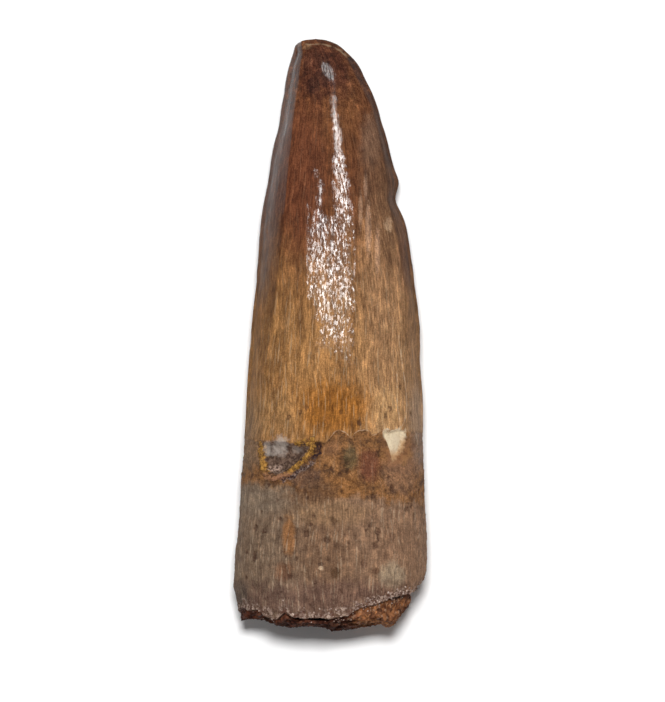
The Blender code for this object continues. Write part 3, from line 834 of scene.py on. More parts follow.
class NodeBench:
    """Adds shader nodes to one tree and links them."""

    def __init__(self, tree):
        self.tree = tree

    def add(self, kind, **settings):
        """A node with those properties set."""
        node = self.tree.nodes.new(kind)
        for name, value in settings.items():
            setattr(node, name, value)
        return node

    def put(self, socket, value):
        """Links the value to the socket if it is an output, and otherwise sets it."""
        if isinstance(value, bpy.types.NodeSocket):
            self.tree.links.new(value, socket)
        elif socket.type == "RGBA" and len(value) == 3:
            socket.default_value = (*value, 1.0)
        else:
            socket.default_value = value

    def math(self, operation, *values, clamp=False):
        """The result of a Math node on the values."""
        node = self.add("ShaderNodeMath", operation=operation, use_clamp=clamp)
        for socket, value in zip(node.inputs, values):
            self.put(socket, value)
        return node.outputs[0]

    def times(self, *values):
        """The values multiplied in turn."""
        return reduce(lambda a, b: self.math("MULTIPLY", a, b), values)

    def most(self, *values):
        """The largest of the values."""
        return reduce(lambda a, b: self.math("MAXIMUM", a, b), values)

    def minus(self, a, b):
        """The first value less the second."""
        return self.math("SUBTRACT", a, b)

    def scaled(self, value, factor, offset):
        """The value times the factor, plus the offset."""
        return self.math("MULTIPLY_ADD", value, factor, offset)

    def vector(self, operation, *values):
        """The result of a Vector Math node on the values."""
        node = self.add("ShaderNodeVectorMath", operation=operation)
        for socket, value in zip(node.inputs, values):
            self.put(socket, value)
        return node.outputs["Value" if operation == "LENGTH" else "Vector"]

    def stretched(self, vector, stretch):
        """The vector with its three numbers multiplied by those of stretch."""
        return self.vector("MULTIPLY", vector, stretch)

    def apart(self, vector):
        """The three numbers of a vector, by name."""
        node = self.add("ShaderNodeSeparateXYZ")
        self.put(node.inputs[0], vector)
        return node.outputs

    def mix(self, factor, a, b, blend="MIX"):
        """Two colours mixed by the factor."""
        node = self.add("ShaderNodeMix", data_type="RGBA", blend_type=blend)
        self.put(node.inputs["Factor"], factor)
        self.put(node.inputs[6], a)
        self.put(node.inputs[7], b)
        return node.outputs[2]

    def blend(self, factor, a, b):
        """Two numbers mixed by the factor."""
        node = self.add("ShaderNodeMix", data_type="FLOAT")
        self.put(node.inputs["Factor"], factor)
        self.put(node.inputs[2], a)
        self.put(node.inputs[3], b)
        return node.outputs[0]

    def remap(self, value, low, high, start=0.0, end=1.0, smoothly=True):
        """The value stretched from low to high onto start to end, and held there."""
        kind = "SMOOTHSTEP" if smoothly else "LINEAR"
        node = self.add("ShaderNodeMapRange", interpolation_type=kind)
        names = ("Value", "From Min", "From Max", "To Min", "To Max")
        for name, number in zip(names, (value, low, high, start, end)):
            self.put(node.inputs[name], number)
        return node.outputs["Result"]

    def noise(self, place, scale, detail=3.0, roughness=0.55, distortion=0.0, output="Fac"):
        """A Noise texture's value, about 0.5 in the middle, or its colour."""
        node = self.add("ShaderNodeTexNoise")
        self.put(node.inputs["Vector"], place)
        self.put(node.inputs["Scale"], scale)
        node.inputs["Detail"].default_value = detail
        node.inputs["Roughness"].default_value = roughness
        node.inputs["Distortion"].default_value = distortion
        return node.outputs[output]

    def cells(self, place, per_millimetre):
        """Distance to the middle of each cell of a Voronoi texture, and three tones for a cell."""
        node = self.add("ShaderNodeTexVoronoi")
        self.put(node.inputs["Vector"], place)
        self.put(node.inputs["Scale"], per_millimetre)
        tones = self.add("ShaderNodeSeparateColor")
        self.put(tones.inputs[0], node.outputs["Color"])
        return node.outputs["Distance"], tones.outputs

    def bump(self, height, depth):
        """A normal from the height, that many metres deep."""
        node = self.add("ShaderNodeBump")
        node.inputs["Distance"].default_value = depth
        self.put(node.inputs["Height"], height)
        return node.outputs[0]

    def attribute(self, name, output="Fac"):
        """A value kept on the mesh's corners."""
        return self.add("ShaderNodeAttribute", attribute_name=name).outputs[output]

    def group(self, name, **values):
        """The output of a shared node group with those inputs."""
        node = self.add("ShaderNodeGroup")
        node.node_tree = shared_groups()[name]
        for label, value in values.items():
            self.put(node.inputs[label.replace("_", " ")], value)
        return node.outputs[0]


SOCKET_KINDS = {1: "NodeSocketFloat", 3: "NodeSocketVector", 4: "NodeSocketColor"}


def new_group(name, output, **inputs):
    """An empty node group: its tree, its bench, its inputs and the socket of its output."""
    tree = bpy.data.node_groups.new(name, "ShaderNodeTree")
    for label, value in inputs.items():
        kind = SOCKET_KINDS[len(value) if isinstance(value, tuple) else 1]
        label = label.replace("_", " ")
        socket = tree.interface.new_socket(label, in_out="INPUT", socket_type=kind)
        socket.default_value = value
    kind = "NodeSocketColor" if output == "Colour" else "NodeSocketFloat"
    tree.interface.new_socket(output, in_out="OUTPUT", socket_type=kind)
    bench = NodeBench(tree)
    given = bench.add("NodeGroupInput").outputs
    return tree, bench, given, bench.add("NodeGroupOutput").inputs[0]


ORIGIN = (0.0, 0.0, 0.0)
EVEN = (1.0, 1.0, 1.0)


def ragged_mask_group():
    """A mask from a signed distance, with an edge that the noise frays."""
    tree, bench, given, result = new_group(
        "Ragged Mask", "Mask", Place=ORIGIN, Distance=0.0, Fray=0.1, Grain=4.0, Softness=0.1
    )
    wobble = bench.minus(bench.noise(given["Place"], given["Grain"], 4.0, 0.6), 0.5)
    moved = bench.scaled(wobble, bench.times(given["Fray"], 4.0), given["Distance"])
    share = bench.math("DIVIDE", moved, given["Softness"])
    bench.put(result, bench.remap(share, -0.5, 0.5))
    return tree


def stain_group():
    """A mask for a stain: a rough-edged blob of that size round a place."""
    tree, bench, given, result = new_group(
        "Stain",
        "Mask",
        Place=ORIGIN,
        Middle=ORIGIN,
        Half_Size=EVEN,
        Fray=0.3,
        Grain=1.0,
        Softness=0.8,
    )
    away = bench.vector("SUBTRACT", given["Place"], given["Middle"])
    far = bench.vector("LENGTH", bench.vector("DIVIDE", away, given["Half Size"]))
    wobble = bench.minus(bench.noise(given["Place"], given["Grain"], 4.0, 0.65), 0.5)
    far = bench.scaled(wobble, bench.times(given["Fray"], 4.0), far)
    share = bench.math("DIVIDE", bench.minus(1.0, far), given["Softness"])
    bench.put(result, bench.remap(share, -0.5, 0.5))
    return tree


def streak_group():
    """Long streaks along the tooth: noise drawn out lengthwise."""
    tree, bench, given, result = new_group(
        "Streaks", "Value", Place=ORIGIN, Fineness=3.0, Stretch=0.1, Sharpness=1.0
    )
    sway = bench.noise(given["Place"], 0.25, 0.0, 0.5, output="Color")
    swayed = bench.vector("MULTIPLY_ADD", sway, (0.5, 0.0, 0.5), given["Place"])
    squeeze = bench.add("ShaderNodeCombineXYZ")
    for name, value in (("X", 1.0), ("Y", given["Stretch"]), ("Z", 1.0)):
        bench.put(squeeze.inputs[name], value)
    place = bench.stretched(swayed, squeeze.outputs[0])
    value = bench.minus(bench.noise(place, given["Fineness"], 4.0, 0.6), 0.5)
    bench.put(result, bench.math("MULTIPLY_ADD", value, given["Sharpness"], 0.5, clamp=True))
    return tree


def pore_group():
    """A mask for scattered pores: the middles of some cells of a Voronoi texture."""
    tree, bench, given, result = new_group(
        "Pores", "Mask", Place=ORIGIN, Per_Millimetre=1.0, Radius=0.25, Kept=0.3
    )
    wobble = bench.noise(given["Place"], 3.0, 2.0, 0.5, output="Color")
    bent = bench.vector("MULTIPLY_ADD", wobble, (0.5, 0.5, 0.5), given["Place"])
    distance, tones = bench.cells(bent, given["Per Millimetre"])
    size = bench.times(given["Radius"], bench.scaled(tones[1], 0.8, 0.4))
    near = bench.math("DIVIDE", bench.minus(size, distance), size)
    kept = bench.math("LESS_THAN", tones[0], given["Kept"])
    bench.put(result, bench.times(bench.remap(near, 0.0, 0.7), kept))
    return tree


def tone_group():
    """A colour made darker and warmer, or lighter and paler, by a value about 0.5."""
    tree, bench, given, result = new_group(
        "Tone", "Colour", Colour=(0.5, 0.5, 0.5, 1.0), Value=0.5, Contrast=1.0
    )
    change = bench.times(bench.minus(given["Value"], 0.5), given["Contrast"])
    dark = bench.mix(1.0, given["Colour"], DARKER, "MULTIPLY")
    light = bench.mix(1.0, given["Colour"], LIGHTER, "MULTIPLY")
    light = bench.mix(1.0, light, PALER, "ADD")
    colour = bench.mix(bench.remap(change, 0.0, -0.5, smoothly=False), given["Colour"], dark)
    colour = bench.mix(bench.remap(change, 0.0, 0.5, smoothly=False), colour, light)
    bench.put(result, colour)
    return tree


GROUPS = {}


def shared_groups():
    """The node groups that the materials share, made once."""
    if not GROUPS:
        GROUPS["mask"] = ragged_mask_group()
        GROUPS["stain"] = stain_group()
        GROUPS["streaks"] = streak_group()
        GROUPS["pores"] = pore_group()
        GROUPS["tone"] = tone_group()
    return GROUPS


class FinishBench(NodeBench):
    """A bench for one new material, with its place on the object and the shared effects."""

    def __init__(self, name):
        self.material = bpy.data.materials.new(name)
        self.material.use_nodes = True
        super().__init__(self.material.node_tree)

    @cached_property
    def place(self):
        """The object's own coordinates in millimetres."""
        place = self.add("ShaderNodeTexCoord").outputs["Object"]
        return self.stretched(place, (1.0 / MM, 1.0 / MM, 1.0 / MM))

    @cached_property
    def at(self):
        """The same, by X, Y and Z."""
        return self.apart(self.place)

    @cached_property
    def unrolled(self):
        """Places on the tooth as if it were an even tube, so that streaks run along it."""
        return self.attribute("unrolled", "Vector")

    def shade(self, **values):
        """Sets or links inputs of the material's shader."""
        shader = self.tree.nodes["Principled BSDF"]
        for name, value in values.items():
            self.put(shader.inputs[name.replace("_", " ")], value)

    def ragged(self, distance, fray, grain, softness):
        """A mask from a distance, with a frayed edge."""
        return self.group(
            "mask", Place=self.place, Distance=distance, Fray=fray, Grain=grain, Softness=softness
        )

    def mask(self, name, fray, grain, softness, offset=0.0):
        """A ragged mask from a distance kept on the mesh."""
        distance = self.math("ADD", self.attribute(name), offset)
        return self.ragged(distance, fray, grain, softness)

    def stain(self, middle, half_size, fray, grain, softness):
        """A ragged blob on the upper side, by its middle and half size along X and Y."""
        return self.group(
            "stain",
            Place=self.place,
            Middle=(*middle, STAIN_LEVEL),
            Half_Size=(*half_size, STAIN_HALF_DEPTH),
            Fray=fray,
            Grain=grain,
            Softness=softness,
        )

    def lay_stains(self, colour, stains):
        """The colour with each stain laid over it in turn."""
        for middle, half_size, stain, strength, softness, fray in stains:
            grain = STAIN_GRAIN / min(half_size) + 0.5
            mask = self.stain(middle, half_size, fray, grain, softness)
            colour = self.mix(self.times(mask, strength), colour, stain)
        return colour

    def streaks(self, fineness, stretch, sharpness):
        """Long streaks along the tooth."""
        return self.group(
            "streaks", Place=self.unrolled, Fineness=fineness, Stretch=stretch, Sharpness=sharpness
        )

    def pores(self, per_millimetre, radius, kept):
        """Scattered pores, and the share of the places that has one."""
        return self.group(
            "pores", Place=self.place, Per_Millimetre=per_millimetre, Radius=radius, Kept=kept
        )

    def vary_tone(self, colour, *layers):
        """The colour varied by each value in turn, with its contrast."""
        for value, contrast in layers:
            colour = self.group("tone", Colour=colour, Value=value, Contrast=contrast)
        return colour


def crown_colour(bench, settings):
    """Red-brown enamel at the tip that turns to honey and tan towards the neck, in fine streaks."""
    y = bench.at["Y"]
    broad = bench.streaks(0.8, 0.10, 1.8)
    middle = bench.streaks(2.6, 0.08, 3.2)
    fine = bench.streaks(6.5, 0.11, 4.0)
    wander = bench.times(bench.minus(broad, 0.5), 0.45)
    honey = bench.math("ADD", bench.remap(y, 18.0, -2.0), wander, clamp=True)
    colour = bench.mix(honey, tuple(settings.tip_colour), tuple(settings.honey_colour))
    right = bench.remap(bench.scaled(wander, 4.0, bench.at["X"]), 0.5, 7.5)
    right = bench.times(right, bench.remap(y, 24.0, -6.0, 0.05, 0.5))
    colour = bench.mix(right, colour, TAN_ENAMEL)
    colour = bench.lay_stains(colour, CROWN_STAINS)
    softer = bench.remap(y, 26.0, 8.0, 0.8, 1.0)
    mottle = bench.noise(bench.stretched(bench.place, (1.0, 0.42, 1.0)), 1.2, 4.0, 0.7)
    grain = bench.noise(bench.place, 6.0, 4.0, 0.75)
    tip_mottle = bench.noise(bench.place, 1.5, 4.0, 0.7)
    colour = bench.vary_tone(
        colour,
        (broad, 0.40),
        (bench.scaled(mottle, 3.2, -1.1), 0.48),
        (middle, bench.times(softer, 0.26)),
        (fine, bench.times(softer, 0.50)),
        (bench.scaled(grain, 3.4, -1.2), 0.50),
        (bench.scaled(tip_mottle, 3.6, -1.42), bench.remap(y, 23.0, 30.0, 0.0, 0.7)),
    )
    hairs = bench.remap(bench.streaks(5.0, 0.04, 4.0), 0.74, 1.0)
    hairs = bench.times(hairs, bench.remap(y, 14.0, -2.0, 0.05, 0.35))
    return bench.mix(hairs, colour, PALE_HAIRS), middle, fine


def root_colour(bench, settings):
    """Grey-brown root, pinker on the right, with fine furrows, and the browner neck above it."""
    x = bench.at["X"]
    middle = bench.streaks(2.0, 0.12, 2.2)
    fine = bench.streaks(7.0, 0.07, 3.4)
    grain = bench.noise(bench.place, 5.0, 5.0, 0.75)
    blotches = bench.noise(bench.place, 0.9, 5.0, 0.7)
    colour = bench.mix(bench.remap(x, -7.0, 8.0), tuple(settings.root_colour), PINK_ROOT)
    above = bench.math("ADD", bench.scaled(x, 0.10, bench.at["Y"]), 18.8)
    neck = bench.ragged(above, 1.2, 0.8, 1.4)
    brown = bench.mix(bench.remap(blotches, 0.36, 0.54), DARK_NECK, tuple(settings.neck_colour))
    orange = bench.times(bench.remap(blotches, 0.56, 0.70), 0.35)
    brown = bench.mix(orange, brown, ORANGE_NECK)
    colour = bench.mix(bench.times(neck, 0.95), colour, brown)
    colour = bench.lay_stains(colour, ROOT_STAINS)
    colour = bench.vary_tone(
        colour,
        (bench.scaled(blotches, 2.6, -0.8), 0.50),
        (middle, bench.scaled(neck, -0.15, 0.30)),
        (fine, bench.scaled(neck, -0.30, 0.46)),
        (bench.scaled(grain, 3.0, -1.0), bench.scaled(neck, 0.25, 0.55)),
    )
    hairs = bench.remap(bench.streaks(4.6, 0.035, 4.0), 0.74, 1.0)
    hairs = bench.times(hairs, bench.remap(blotches, 0.42, 0.55, 0.0, 0.38))
    hairs = bench.times(hairs, bench.scaled(neck, -0.75, 1.0))
    colour = bench.mix(hairs, colour, ROOT_HAIRS)
    pores = bench.times(bench.pores(1.3, 0.20, 0.22), 0.5)
    return bench.mix(pores, colour, ROOT_PORES), fine


def lay_neck_chip(bench, colour, masks, crystals, patches):
    """The neck's chip: its dark floor with crumbs, the groove and crust round it, and smears."""
    y = bench.at["Y"]
    floor = bench.mix(bench.remap(patches, 0.40, 0.60), *CHIP_TONES)
    floor = bench.mix(bench.remap(crystals, 0.50, 0.36), floor, CHIP_HOLES)
    crumbs = bench.times(bench.stain(*CHIP_CRUMBS), bench.remap(crystals, 0.46, 0.58))
    floor = bench.mix(crumbs, floor, CHIP_CRUMB)
    colour = bench.mix(masks["neck_chip"], colour, floor)
    crumbs = bench.remap(crystals, 0.44, 0.60)
    crumbs = bench.times(crumbs, bench.remap(y, -14.2, -15.4, 0.05, 1.0))
    groove = bench.mix(crumbs, *GROOVE_TONES)
    shown = bench.times(masks["dark_groove"], bench.remap(patches, 0.34, 0.50))
    colour = bench.mix(shown, colour, groove)
    crust = bench.mix(bench.remap(crystals, 0.36, 0.62), *CRUST_TONES)
    crust = bench.mix(bench.remap(y, -15.9, -16.6, 0.0, 0.8), crust, PINK_CRUST)
    colour = bench.mix(masks["ochre_crust"], colour, crust)
    for middle, half_size, strength in SMEARS:
        smear = bench.times(bench.stain(middle, half_size, 0.45, 1.8, 0.9), strength)
        smear = bench.times(smear, bench.remap(crystals, 0.34, 0.58, 0.55, 1.0))
        colour = bench.mix(smear, colour, PALE_SMEAR)
    return colour


def lay_cream_chip(bench, colour, masks, crystals, patches):
    """The cream chip with its rusty foot and halo, and the rusty neck beside it."""
    y = bench.at["Y"]
    distance = bench.attribute("cream_chip")
    rust = bench.mix(bench.remap(patches, 0.40, 0.60), *RUST_TONES)
    colour = bench.mix(bench.times(bench.stain(*RUSTY_PATCH), 0.7), colour, rust)
    below_top = bench.remap(y, -11.9, -12.7)
    halo = bench.times(bench.remap(distance, -1.2, 0.0), below_top)
    halo = bench.times(halo, bench.remap(patches, 0.38, 0.58, 0.2, 0.75))
    colour = bench.mix(halo, colour, CREAM_HALO)
    cream = bench.mix(bench.remap(crystals, 0.26, 0.50), *CREAM_TONES)
    edge = bench.remap(bench.scaled(crystals, 0.5, distance), 0.66, 0.30)
    rusty = bench.most(bench.times(edge, below_top), bench.remap(y, -13.2, -14.4))
    cream = bench.mix(bench.times(rusty, 0.85), cream, RUSTY_CREAM)
    return bench.mix(masks["cream_chip"], colour, cream)


def lay_pale_lines(bench, colour, masks, patches):
    """Cracks, a painted glint, the worn tip line and a painted highlight on the scallops."""
    # Pale cracks, and the painted glint along the short stroke at the right edge.
    colour = bench.mix(bench.times(masks["cracks_and_glint"], 0.5), colour, PALE_CRACKS_AND_GLINT)
    colour = bench.mix(bench.times(masks["worn_tip_line"], 0.6), colour, WORN_EDGE)
    # Painted highlight: a thin pale line along the enamel's edge where it is scalloped.
    distance = bench.math("ABSOLUTE", bench.attribute("enamel"))
    scallop_highlight = bench.ragged(bench.minus(SCALLOP_HIGHLIGHT_HALF_WIDTH, distance), *SCALLOP_HIGHLIGHT_MASK)
    scallop_highlight = bench.times(scallop_highlight, bench.stain(*SCALLOP_HIGHLIGHT_AREA))
    scallop_highlight = bench.times(scallop_highlight, bench.remap(patches, 0.42, 0.60, 0.15, 0.8))
    return bench.mix(scallop_highlight, colour, PAINTED_SCALLOP_HIGHLIGHT)


def lay_rim(bench, colour, masks, patches):
    """The root's broken rim: rust, then a pale fringe of grains, and dark dentine on the break."""
    _, tones = bench.cells(bench.place, 3.6)
    rusted = bench.times(bench.mask("broken", *RUSTED_RIM_MASK), 0.85)
    colour = bench.mix(rusted, colour, RUSTED_RIM)
    fringe = bench.mix(bench.remap(tones[0], 0.3, 0.95), *FRINGE_TONES)
    shown = bench.mask("broken", *FRINGE_MASK)
    shown = bench.times(shown, bench.remap(patches, 0.37, 0.56, 0.15, 0.9))
    colour = bench.mix(shown, colour, fringe)
    dentine = bench.mix(bench.remap(tones[1], 0.3, 0.9), *DENTINE_TONES)
    return bench.mix(masks["broken"], colour, dentine)


def enamel_gloss(bench, masks, fine):
    """How strong the enamel's clear coat is, at the left, underneath and where it is polished."""
    y = bench.at["Y"]
    around = bench.apart(bench.unrolled)
    sheen = bench.remap(y, 2.0, 26.0, 0.0, 0.95, smoothly=False)
    sheen = bench.times(sheen, bench.remap(around["X"], 0.0, 3.0, 1.0, 0.10))
    sheen = bench.times(sheen, bench.remap(fine, 0.1, 0.9, 0.7, 1.0), masks["flank"])
    under = bench.times(
        bench.remap(around["Z"], 0.0, -3.5),
        bench.remap(y, -10.0, 6.0, 0.15, 0.6),
        bench.remap(fine, 0.1, 0.9, 0.5, 1.0),
    )
    specks = bench.noise(bench.stretched(bench.unrolled, (1.1, 0.38, 1.1)), 3.6, 4.0, 0.75)
    specks = bench.minus(specks, bench.remap(y, 24.0, 14.0, 0.43, 0.51))
    specks = bench.minus(specks, bench.remap(y, 4.0, -3.0, 0.0, 0.05))
    edge = bench.remap(bench.attribute("polish"), 1.4, 0.0, 0.0, 0.03)
    specks = bench.minus(specks, bench.times(edge, bench.remap(y, 16.0, 12.0)))
    specks = bench.remap(specks, -0.02, 0.075, 0.04, 1.0)
    clusters = bench.noise(bench.stretched(bench.unrolled, (1.0, 0.4, 1.0)), 1.2, 2.0, 0.6)
    polish = bench.times(
        bench.mask("polish", bench.remap(y, 15.0, 11.0, 0.30, 0.62), 1.7, 0.6),
        specks,
        bench.remap(clusters, 0.36, 0.60, 0.45, 1.0),
        bench.remap(y, 31.0, 25.0, 0.45, 1.0),
        bench.remap(y, 1.0, -4.0, 1.0, 0.35),
    )
    return bench.most(sheen, under, polish)


def tooth_height(bench, masks, grit, crystals, crown_fine, root_fine):
    """The finest relief: the enamel's wrinkles, the root's furrows, pits, cracks and grit."""
    worms = bench.noise(bench.stretched(bench.unrolled, (1.0, 0.65, 1.0)), 3.0, 3.0, 0.7, 0.4)
    worn = bench.remap(bench.at["Y"], 21.0, 13.0, 0.4, 1.2)
    crown = bench.scaled(crown_fine, 0.06, bench.times(bench.minus(worms, 0.5), worn))
    root = bench.math("ADD", root_fine, bench.times(crystals, 3.0))
    height = bench.blend(masks["enamel"], root, crown)
    height = bench.scaled(masks["pit"], -2.0, height)
    height = bench.scaled(bench.times(crystals, grit), 3.5, height)
    return bench.scaled(masks["cracks_and_glint"], -0.8, height)


def make_tooth_material(settings):
    """Glossy enamel, satin root, chips and crust, parted by the marks kept on the mesh."""
    bench = FinishBench("fossil_tooth")
    crown, crown_middle, crown_fine = crown_colour(bench, settings)
    root, root_fine = root_colour(bench, settings)
    crystals = bench.noise(bench.place, 3.2, 5.0, 0.75, 0.4)
    patches = bench.noise(bench.place, 1.3, 4.0, 0.7, 0.5)
    masks = {name: bench.mask(name, *numbers) for name, numbers in MASKS.items()}
    whole = bench.remap(patches, 0.30, 0.48, 0.35, 1.0)
    masks["ochre_crust"] = bench.times(masks["ochre_crust"], whole)

    shaded = bench.times(masks["flank"], bench.remap(bench.at["Y"], -11.0, 8.0, 0.1, 0.8))
    crown = bench.mix(shaded, crown, bench.mix(1.0, crown, SHADED_ENAMEL, "MULTIPLY"))
    colour = bench.mix(masks["enamel"], root, crown)
    pits = bench.times(masks["pit"], bench.remap(crystals, 0.38, 0.62, 0.35, 0.85))
    colour = bench.mix(pits, colour, PIT_FLOOR)
    colour = lay_neck_chip(bench, colour, masks, crystals, patches)
    colour = lay_cream_chip(bench, colour, masks, crystals, patches)
    colour = lay_pale_lines(bench, colour, masks, patches)
    colour = lay_rim(bench, colour, masks, patches)

    grit = bench.most(*(masks[m] for m in ("neck_chip", "ochre_crust", "cream_chip", "broken")))
    satin = bench.most(bench.minus(1.0, masks["enamel"]), grit)
    dull = bench.scaled(bench.remap(crown_middle, 0.4, 0.9), 0.08, 0.80)
    gloss = enamel_gloss(bench, masks, crown_fine)
    height = tooth_height(bench, masks, grit, crystals, crown_fine, root_fine)
    bench.shade(
        Base_Color=colour,
        Roughness=bench.blend(bench.most(satin, masks["flank"]), dull, 0.65),
        Specular_IOR_Level=0.05,
        Coat_Weight=bench.blend(satin, gloss, 0.0),
        Coat_Roughness=0.14,
        Normal=bench.bump(height, settings.wrinkle_depth),
    )
    return bench.material


def make_rock_material(settings):
    """Rust-brown sandstone with orange patches, dark pores and pale grains."""
    bench = FinishBench("rusty_sandstone")
    patches = bench.noise(bench.place, 0.45, 3.0, 0.6)
    distance, tones = bench.cells(bench.place, 3.2)
    colour = bench.mix(bench.remap(tones[0], 0.2, 0.9), DARK_ROCK, tuple(settings.rock_colour))
    orange = bench.times(bench.stain(*ORANGE_ROCK), bench.remap(tones[1], 0.0, 0.9, 0.25, 1.0))
    colour = bench.mix(orange, colour, ORANGE_GRAINS)
    colour = bench.vary_tone(colour, (bench.scaled(patches, 4.0, -1.5), 0.8))
    pale = bench.math("GREATER_THAN", tones[2], 0.90)
    pale = bench.times(pale, bench.remap(bench.at["X"], -2.0, 6.0, 0.15, 1.0))
    colour = bench.mix(bench.times(pale, 0.55), colour, PALE_ROCK_GRAINS)
    pores = bench.pores(1.6, 0.34, 0.5)
    colour = bench.mix(bench.times(pores, 0.6), colour, ROCK_PORES)
    height = bench.scaled(pores, -0.8, bench.noise(bench.place, 5.0, 5.0, 0.7))
    height = bench.scaled(distance, -0.6, height)
    bench.shade(
        Base_Color=colour,
        Roughness=bench.remap(tones[1], 0.0, 1.0, 0.55, 0.9),
        Specular_IOR_Level=0.08,
        Normal=bench.bump(height, settings.grain_depth),
    )
    return bench.material


def make_grain_material():
    """Small loose grains, each of its own tone between dark and pale."""
    bench = FinishBench("pale_grains")
    bench.shade(Base_Color=bench.mix(bench.attribute("tone"), *LOOSE_GRAIN_TONES), Roughness=0.5)
    return bench.material


def scatter_grains(places, size, tree):
    """Small angular grains, half sunk into the surface at those places."""
    random = np.random.default_rng(GRAIN_SHAPE_SEED)
    bm = bmesh.new()
    tones = []
    for x, y in places:
        above = Vector((x, y, DROP_HEIGHT)) * MM
        hit, normal, _, _ = tree.ray_cast(above, Vector((0.0, 0.0, -1.0)))
        if hit is None:
            continue
        radius = size * random.uniform(*GRAIN_SIZES) * MM
        turn = Matrix.Rotation(random.uniform(0.0, math.tau), 4, Vector(random.normal(size=3)))
        stretch = Matrix.Diagonal((*random.uniform(*GRAIN_STRETCH, 3), 1.0))
        matrix = Matrix.Translation(hit + normal * radius * GRAIN_LIFT) @ turn @ stretch
        made = bmesh.ops.create_icosphere(bm, subdivisions=1, radius=radius, matrix=matrix)
        tones += [random.uniform(0.0, 1.0)] * len(made["verts"])
    mesh = bpy.data.meshes.new("pale_grains")
    bm.to_mesh(mesh)
    bm.free()
    add_attribute(mesh, "tone", tones)
    return mesh


def surface_tree(*names):
    """The surfaces of those pieces in one search tree."""
    bm = bmesh.new()
    for name in names:
        bm.from_mesh(bpy.data.objects[name].data)
    tree = BVHTree.FromBMesh(bm)
    bm.free()
    return tree


def fine_length(name, description, default):
    """A setting for a length well under a millimetre."""
    return FloatProperty(
        name=name,
        description=description,
        default=default,
        min=0.0,
        precision=6,
        unit="LENGTH",
        subtype="DISTANCE",
    )


def tint(name, description, default):
    """A setting for a colour."""
    return FloatVectorProperty(
        name=name, description=description, default=default, subtype="COLOR"
    )


def count(name, description, default, least):
    """A setting for a whole number."""
    return IntProperty(name=name, description=description, default=default, min=least)


def amount(name, description, default, least=0.0):
    """A setting for a plain number."""
    return FloatProperty(name=name, description=description, default=default, min=least)


class ToothSettings(bpy.types.PropertyGroup):
    """Sizes and colours of the tooth's surface."""

    sides: count("Sides", "Corners round the tooth", 304, 16)
    rings: count("Rings", "Rings from the tip to the hollow", 322, 40)
    wall_rings: count("Wall rings", "Rings over the broken wall", 10, 2)
    hollow_rings: count("Hollow rings", "Rings in the hollow", 6, 2)
    wrinkle_depth: fine_length("Wrinkle depth", "Height of the enamel's fine wrinkles", 0.00004)
    tip_colour: tint("Tip", "Enamel near the tip", (0.105, 0.034, 0.012))
    honey_colour: tint("Honey", "Enamel near the neck", (0.262, 0.132, 0.047))
    neck_colour: tint("Neck", "Brown neck below the enamel", (0.205, 0.092, 0.032))
    root_colour: tint("Root", "Grey-brown root", (0.168, 0.112, 0.074))


class RockSettings(bpy.types.PropertyGroup):
    """Sizes and colours of the sandstone and its loose grains."""

    sides: count("Sides", "Corners round the sandstone", 420, 16)
    end_rings: count("End rings", "Rings over the rough end", 120, 4)
    side_rings: count("Side rings", "Rings along its edge", 34, 2)
    grain_depth: fine_length("Grain depth", "Height of the finest grain", 0.00012)
    grain_size: fine_length("Grain size", "Radius of the loose grains", 0.00015)
    grain_count: count("Grains", "Loose grains along the root's edge", 240, 0)
    rock_colour: tint("Rust", "Rust-brown sandstone", (0.105, 0.033, 0.018))


class StageSettings(bpy.types.PropertyGroup):
    """The studio: floor, lights and camera."""

    floor_colour: tint("Floor", "Pale floor", (0.95, 0.95, 0.95))
    key_power: amount("Key", "Power of the lamp overhead, in watts", 14.5)
    softbox_power: amount("Softbox", "Power of the lamp that the enamel mirrors, in watts", 10.5)
    sky_strength: amount("Fill", "Even light from all round", 0.18)
    lens: amount("Lens", "Focal length in millimetres", 900.0, 10.0)


class TOOTH_OT_make_surface(bpy.types.Operator):
    """Makes the surface of the crown, neck and root"""

    bl_idname = "fossil_tooth.make_surface"
    bl_label = "Make Tooth Surface"

    def execute(self, context):
        """Builds the mesh and its material, and sets it in place of the plain solid."""
        settings = context.scene.tooth_settings
        mesh = make_tooth_mesh(settings)
        material = make_tooth_material(settings)
        piece = add_piece("tooth_surface", mesh, material)
        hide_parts("tooth")
        return {"FINISHED"}


class TOOTH_OT_make_sandstone(bpy.types.Operator):
    """Makes the sandstone in the broken end of the root"""

    bl_idname = "fossil_tooth.make_sandstone"
    bl_label = "Make Sandstone"

    def execute(self, context):
        """Builds the mesh and its material, and sets it in place of the plain solid."""
        settings = context.scene.rock_settings
        mesh = make_rock_mesh(settings)
        material = make_rock_material(settings)
        piece = add_piece("sandstone_surface", mesh, material)
        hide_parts("sandstone_matrix")
        return {"FINISHED"}


class TOOTH_OT_make_grains(bpy.types.Operator):
    """Strews pale grains along the root's broken edge"""

    bl_idname = "fossil_tooth.make_grains"
    bl_label = "Make Loose Grains"

    def execute(self, context):
        """Builds the grains on the surfaces that are there already."""
        settings = context.scene.rock_settings
        random = np.random.default_rng(GRAIN_PLACE_SEED)
        tree = surface_tree("tooth_surface", "sandstone_surface")
        angle = np.radians(random.uniform(*GRAIN_ANGLES, settings.grain_count))
        _, *section = section_at(np.full(angle.shape, FORM.length), angle)
        x, _ = oval(*section, angle)
        y = rim_at(angle) + random.normal(*GRAIN_SPREAD, angle.shape)
        kept = random.uniform(0.0, 1.0, angle.shape) < line_through(GRAIN_SHARE, x)
        places = zip(x[kept] * GRAIN_INSET, y[kept])
        mesh = scatter_grains(places, settings.grain_size / MM, tree)
        add_piece("pale_grains", mesh, make_grain_material())
        return {"FINISHED"}


class TOOTH_OT_make_stage(bpy.types.Operator):
    """Makes the floor, the lights and the camera"""

    bl_idname = "fossil_tooth.make_stage"
    bl_label = "Make Stage"

    def execute(self, context):
        """Sets up a plain white studio with the camera straight above."""
        make_stage(context.scene)
        return {"FINISHED"}


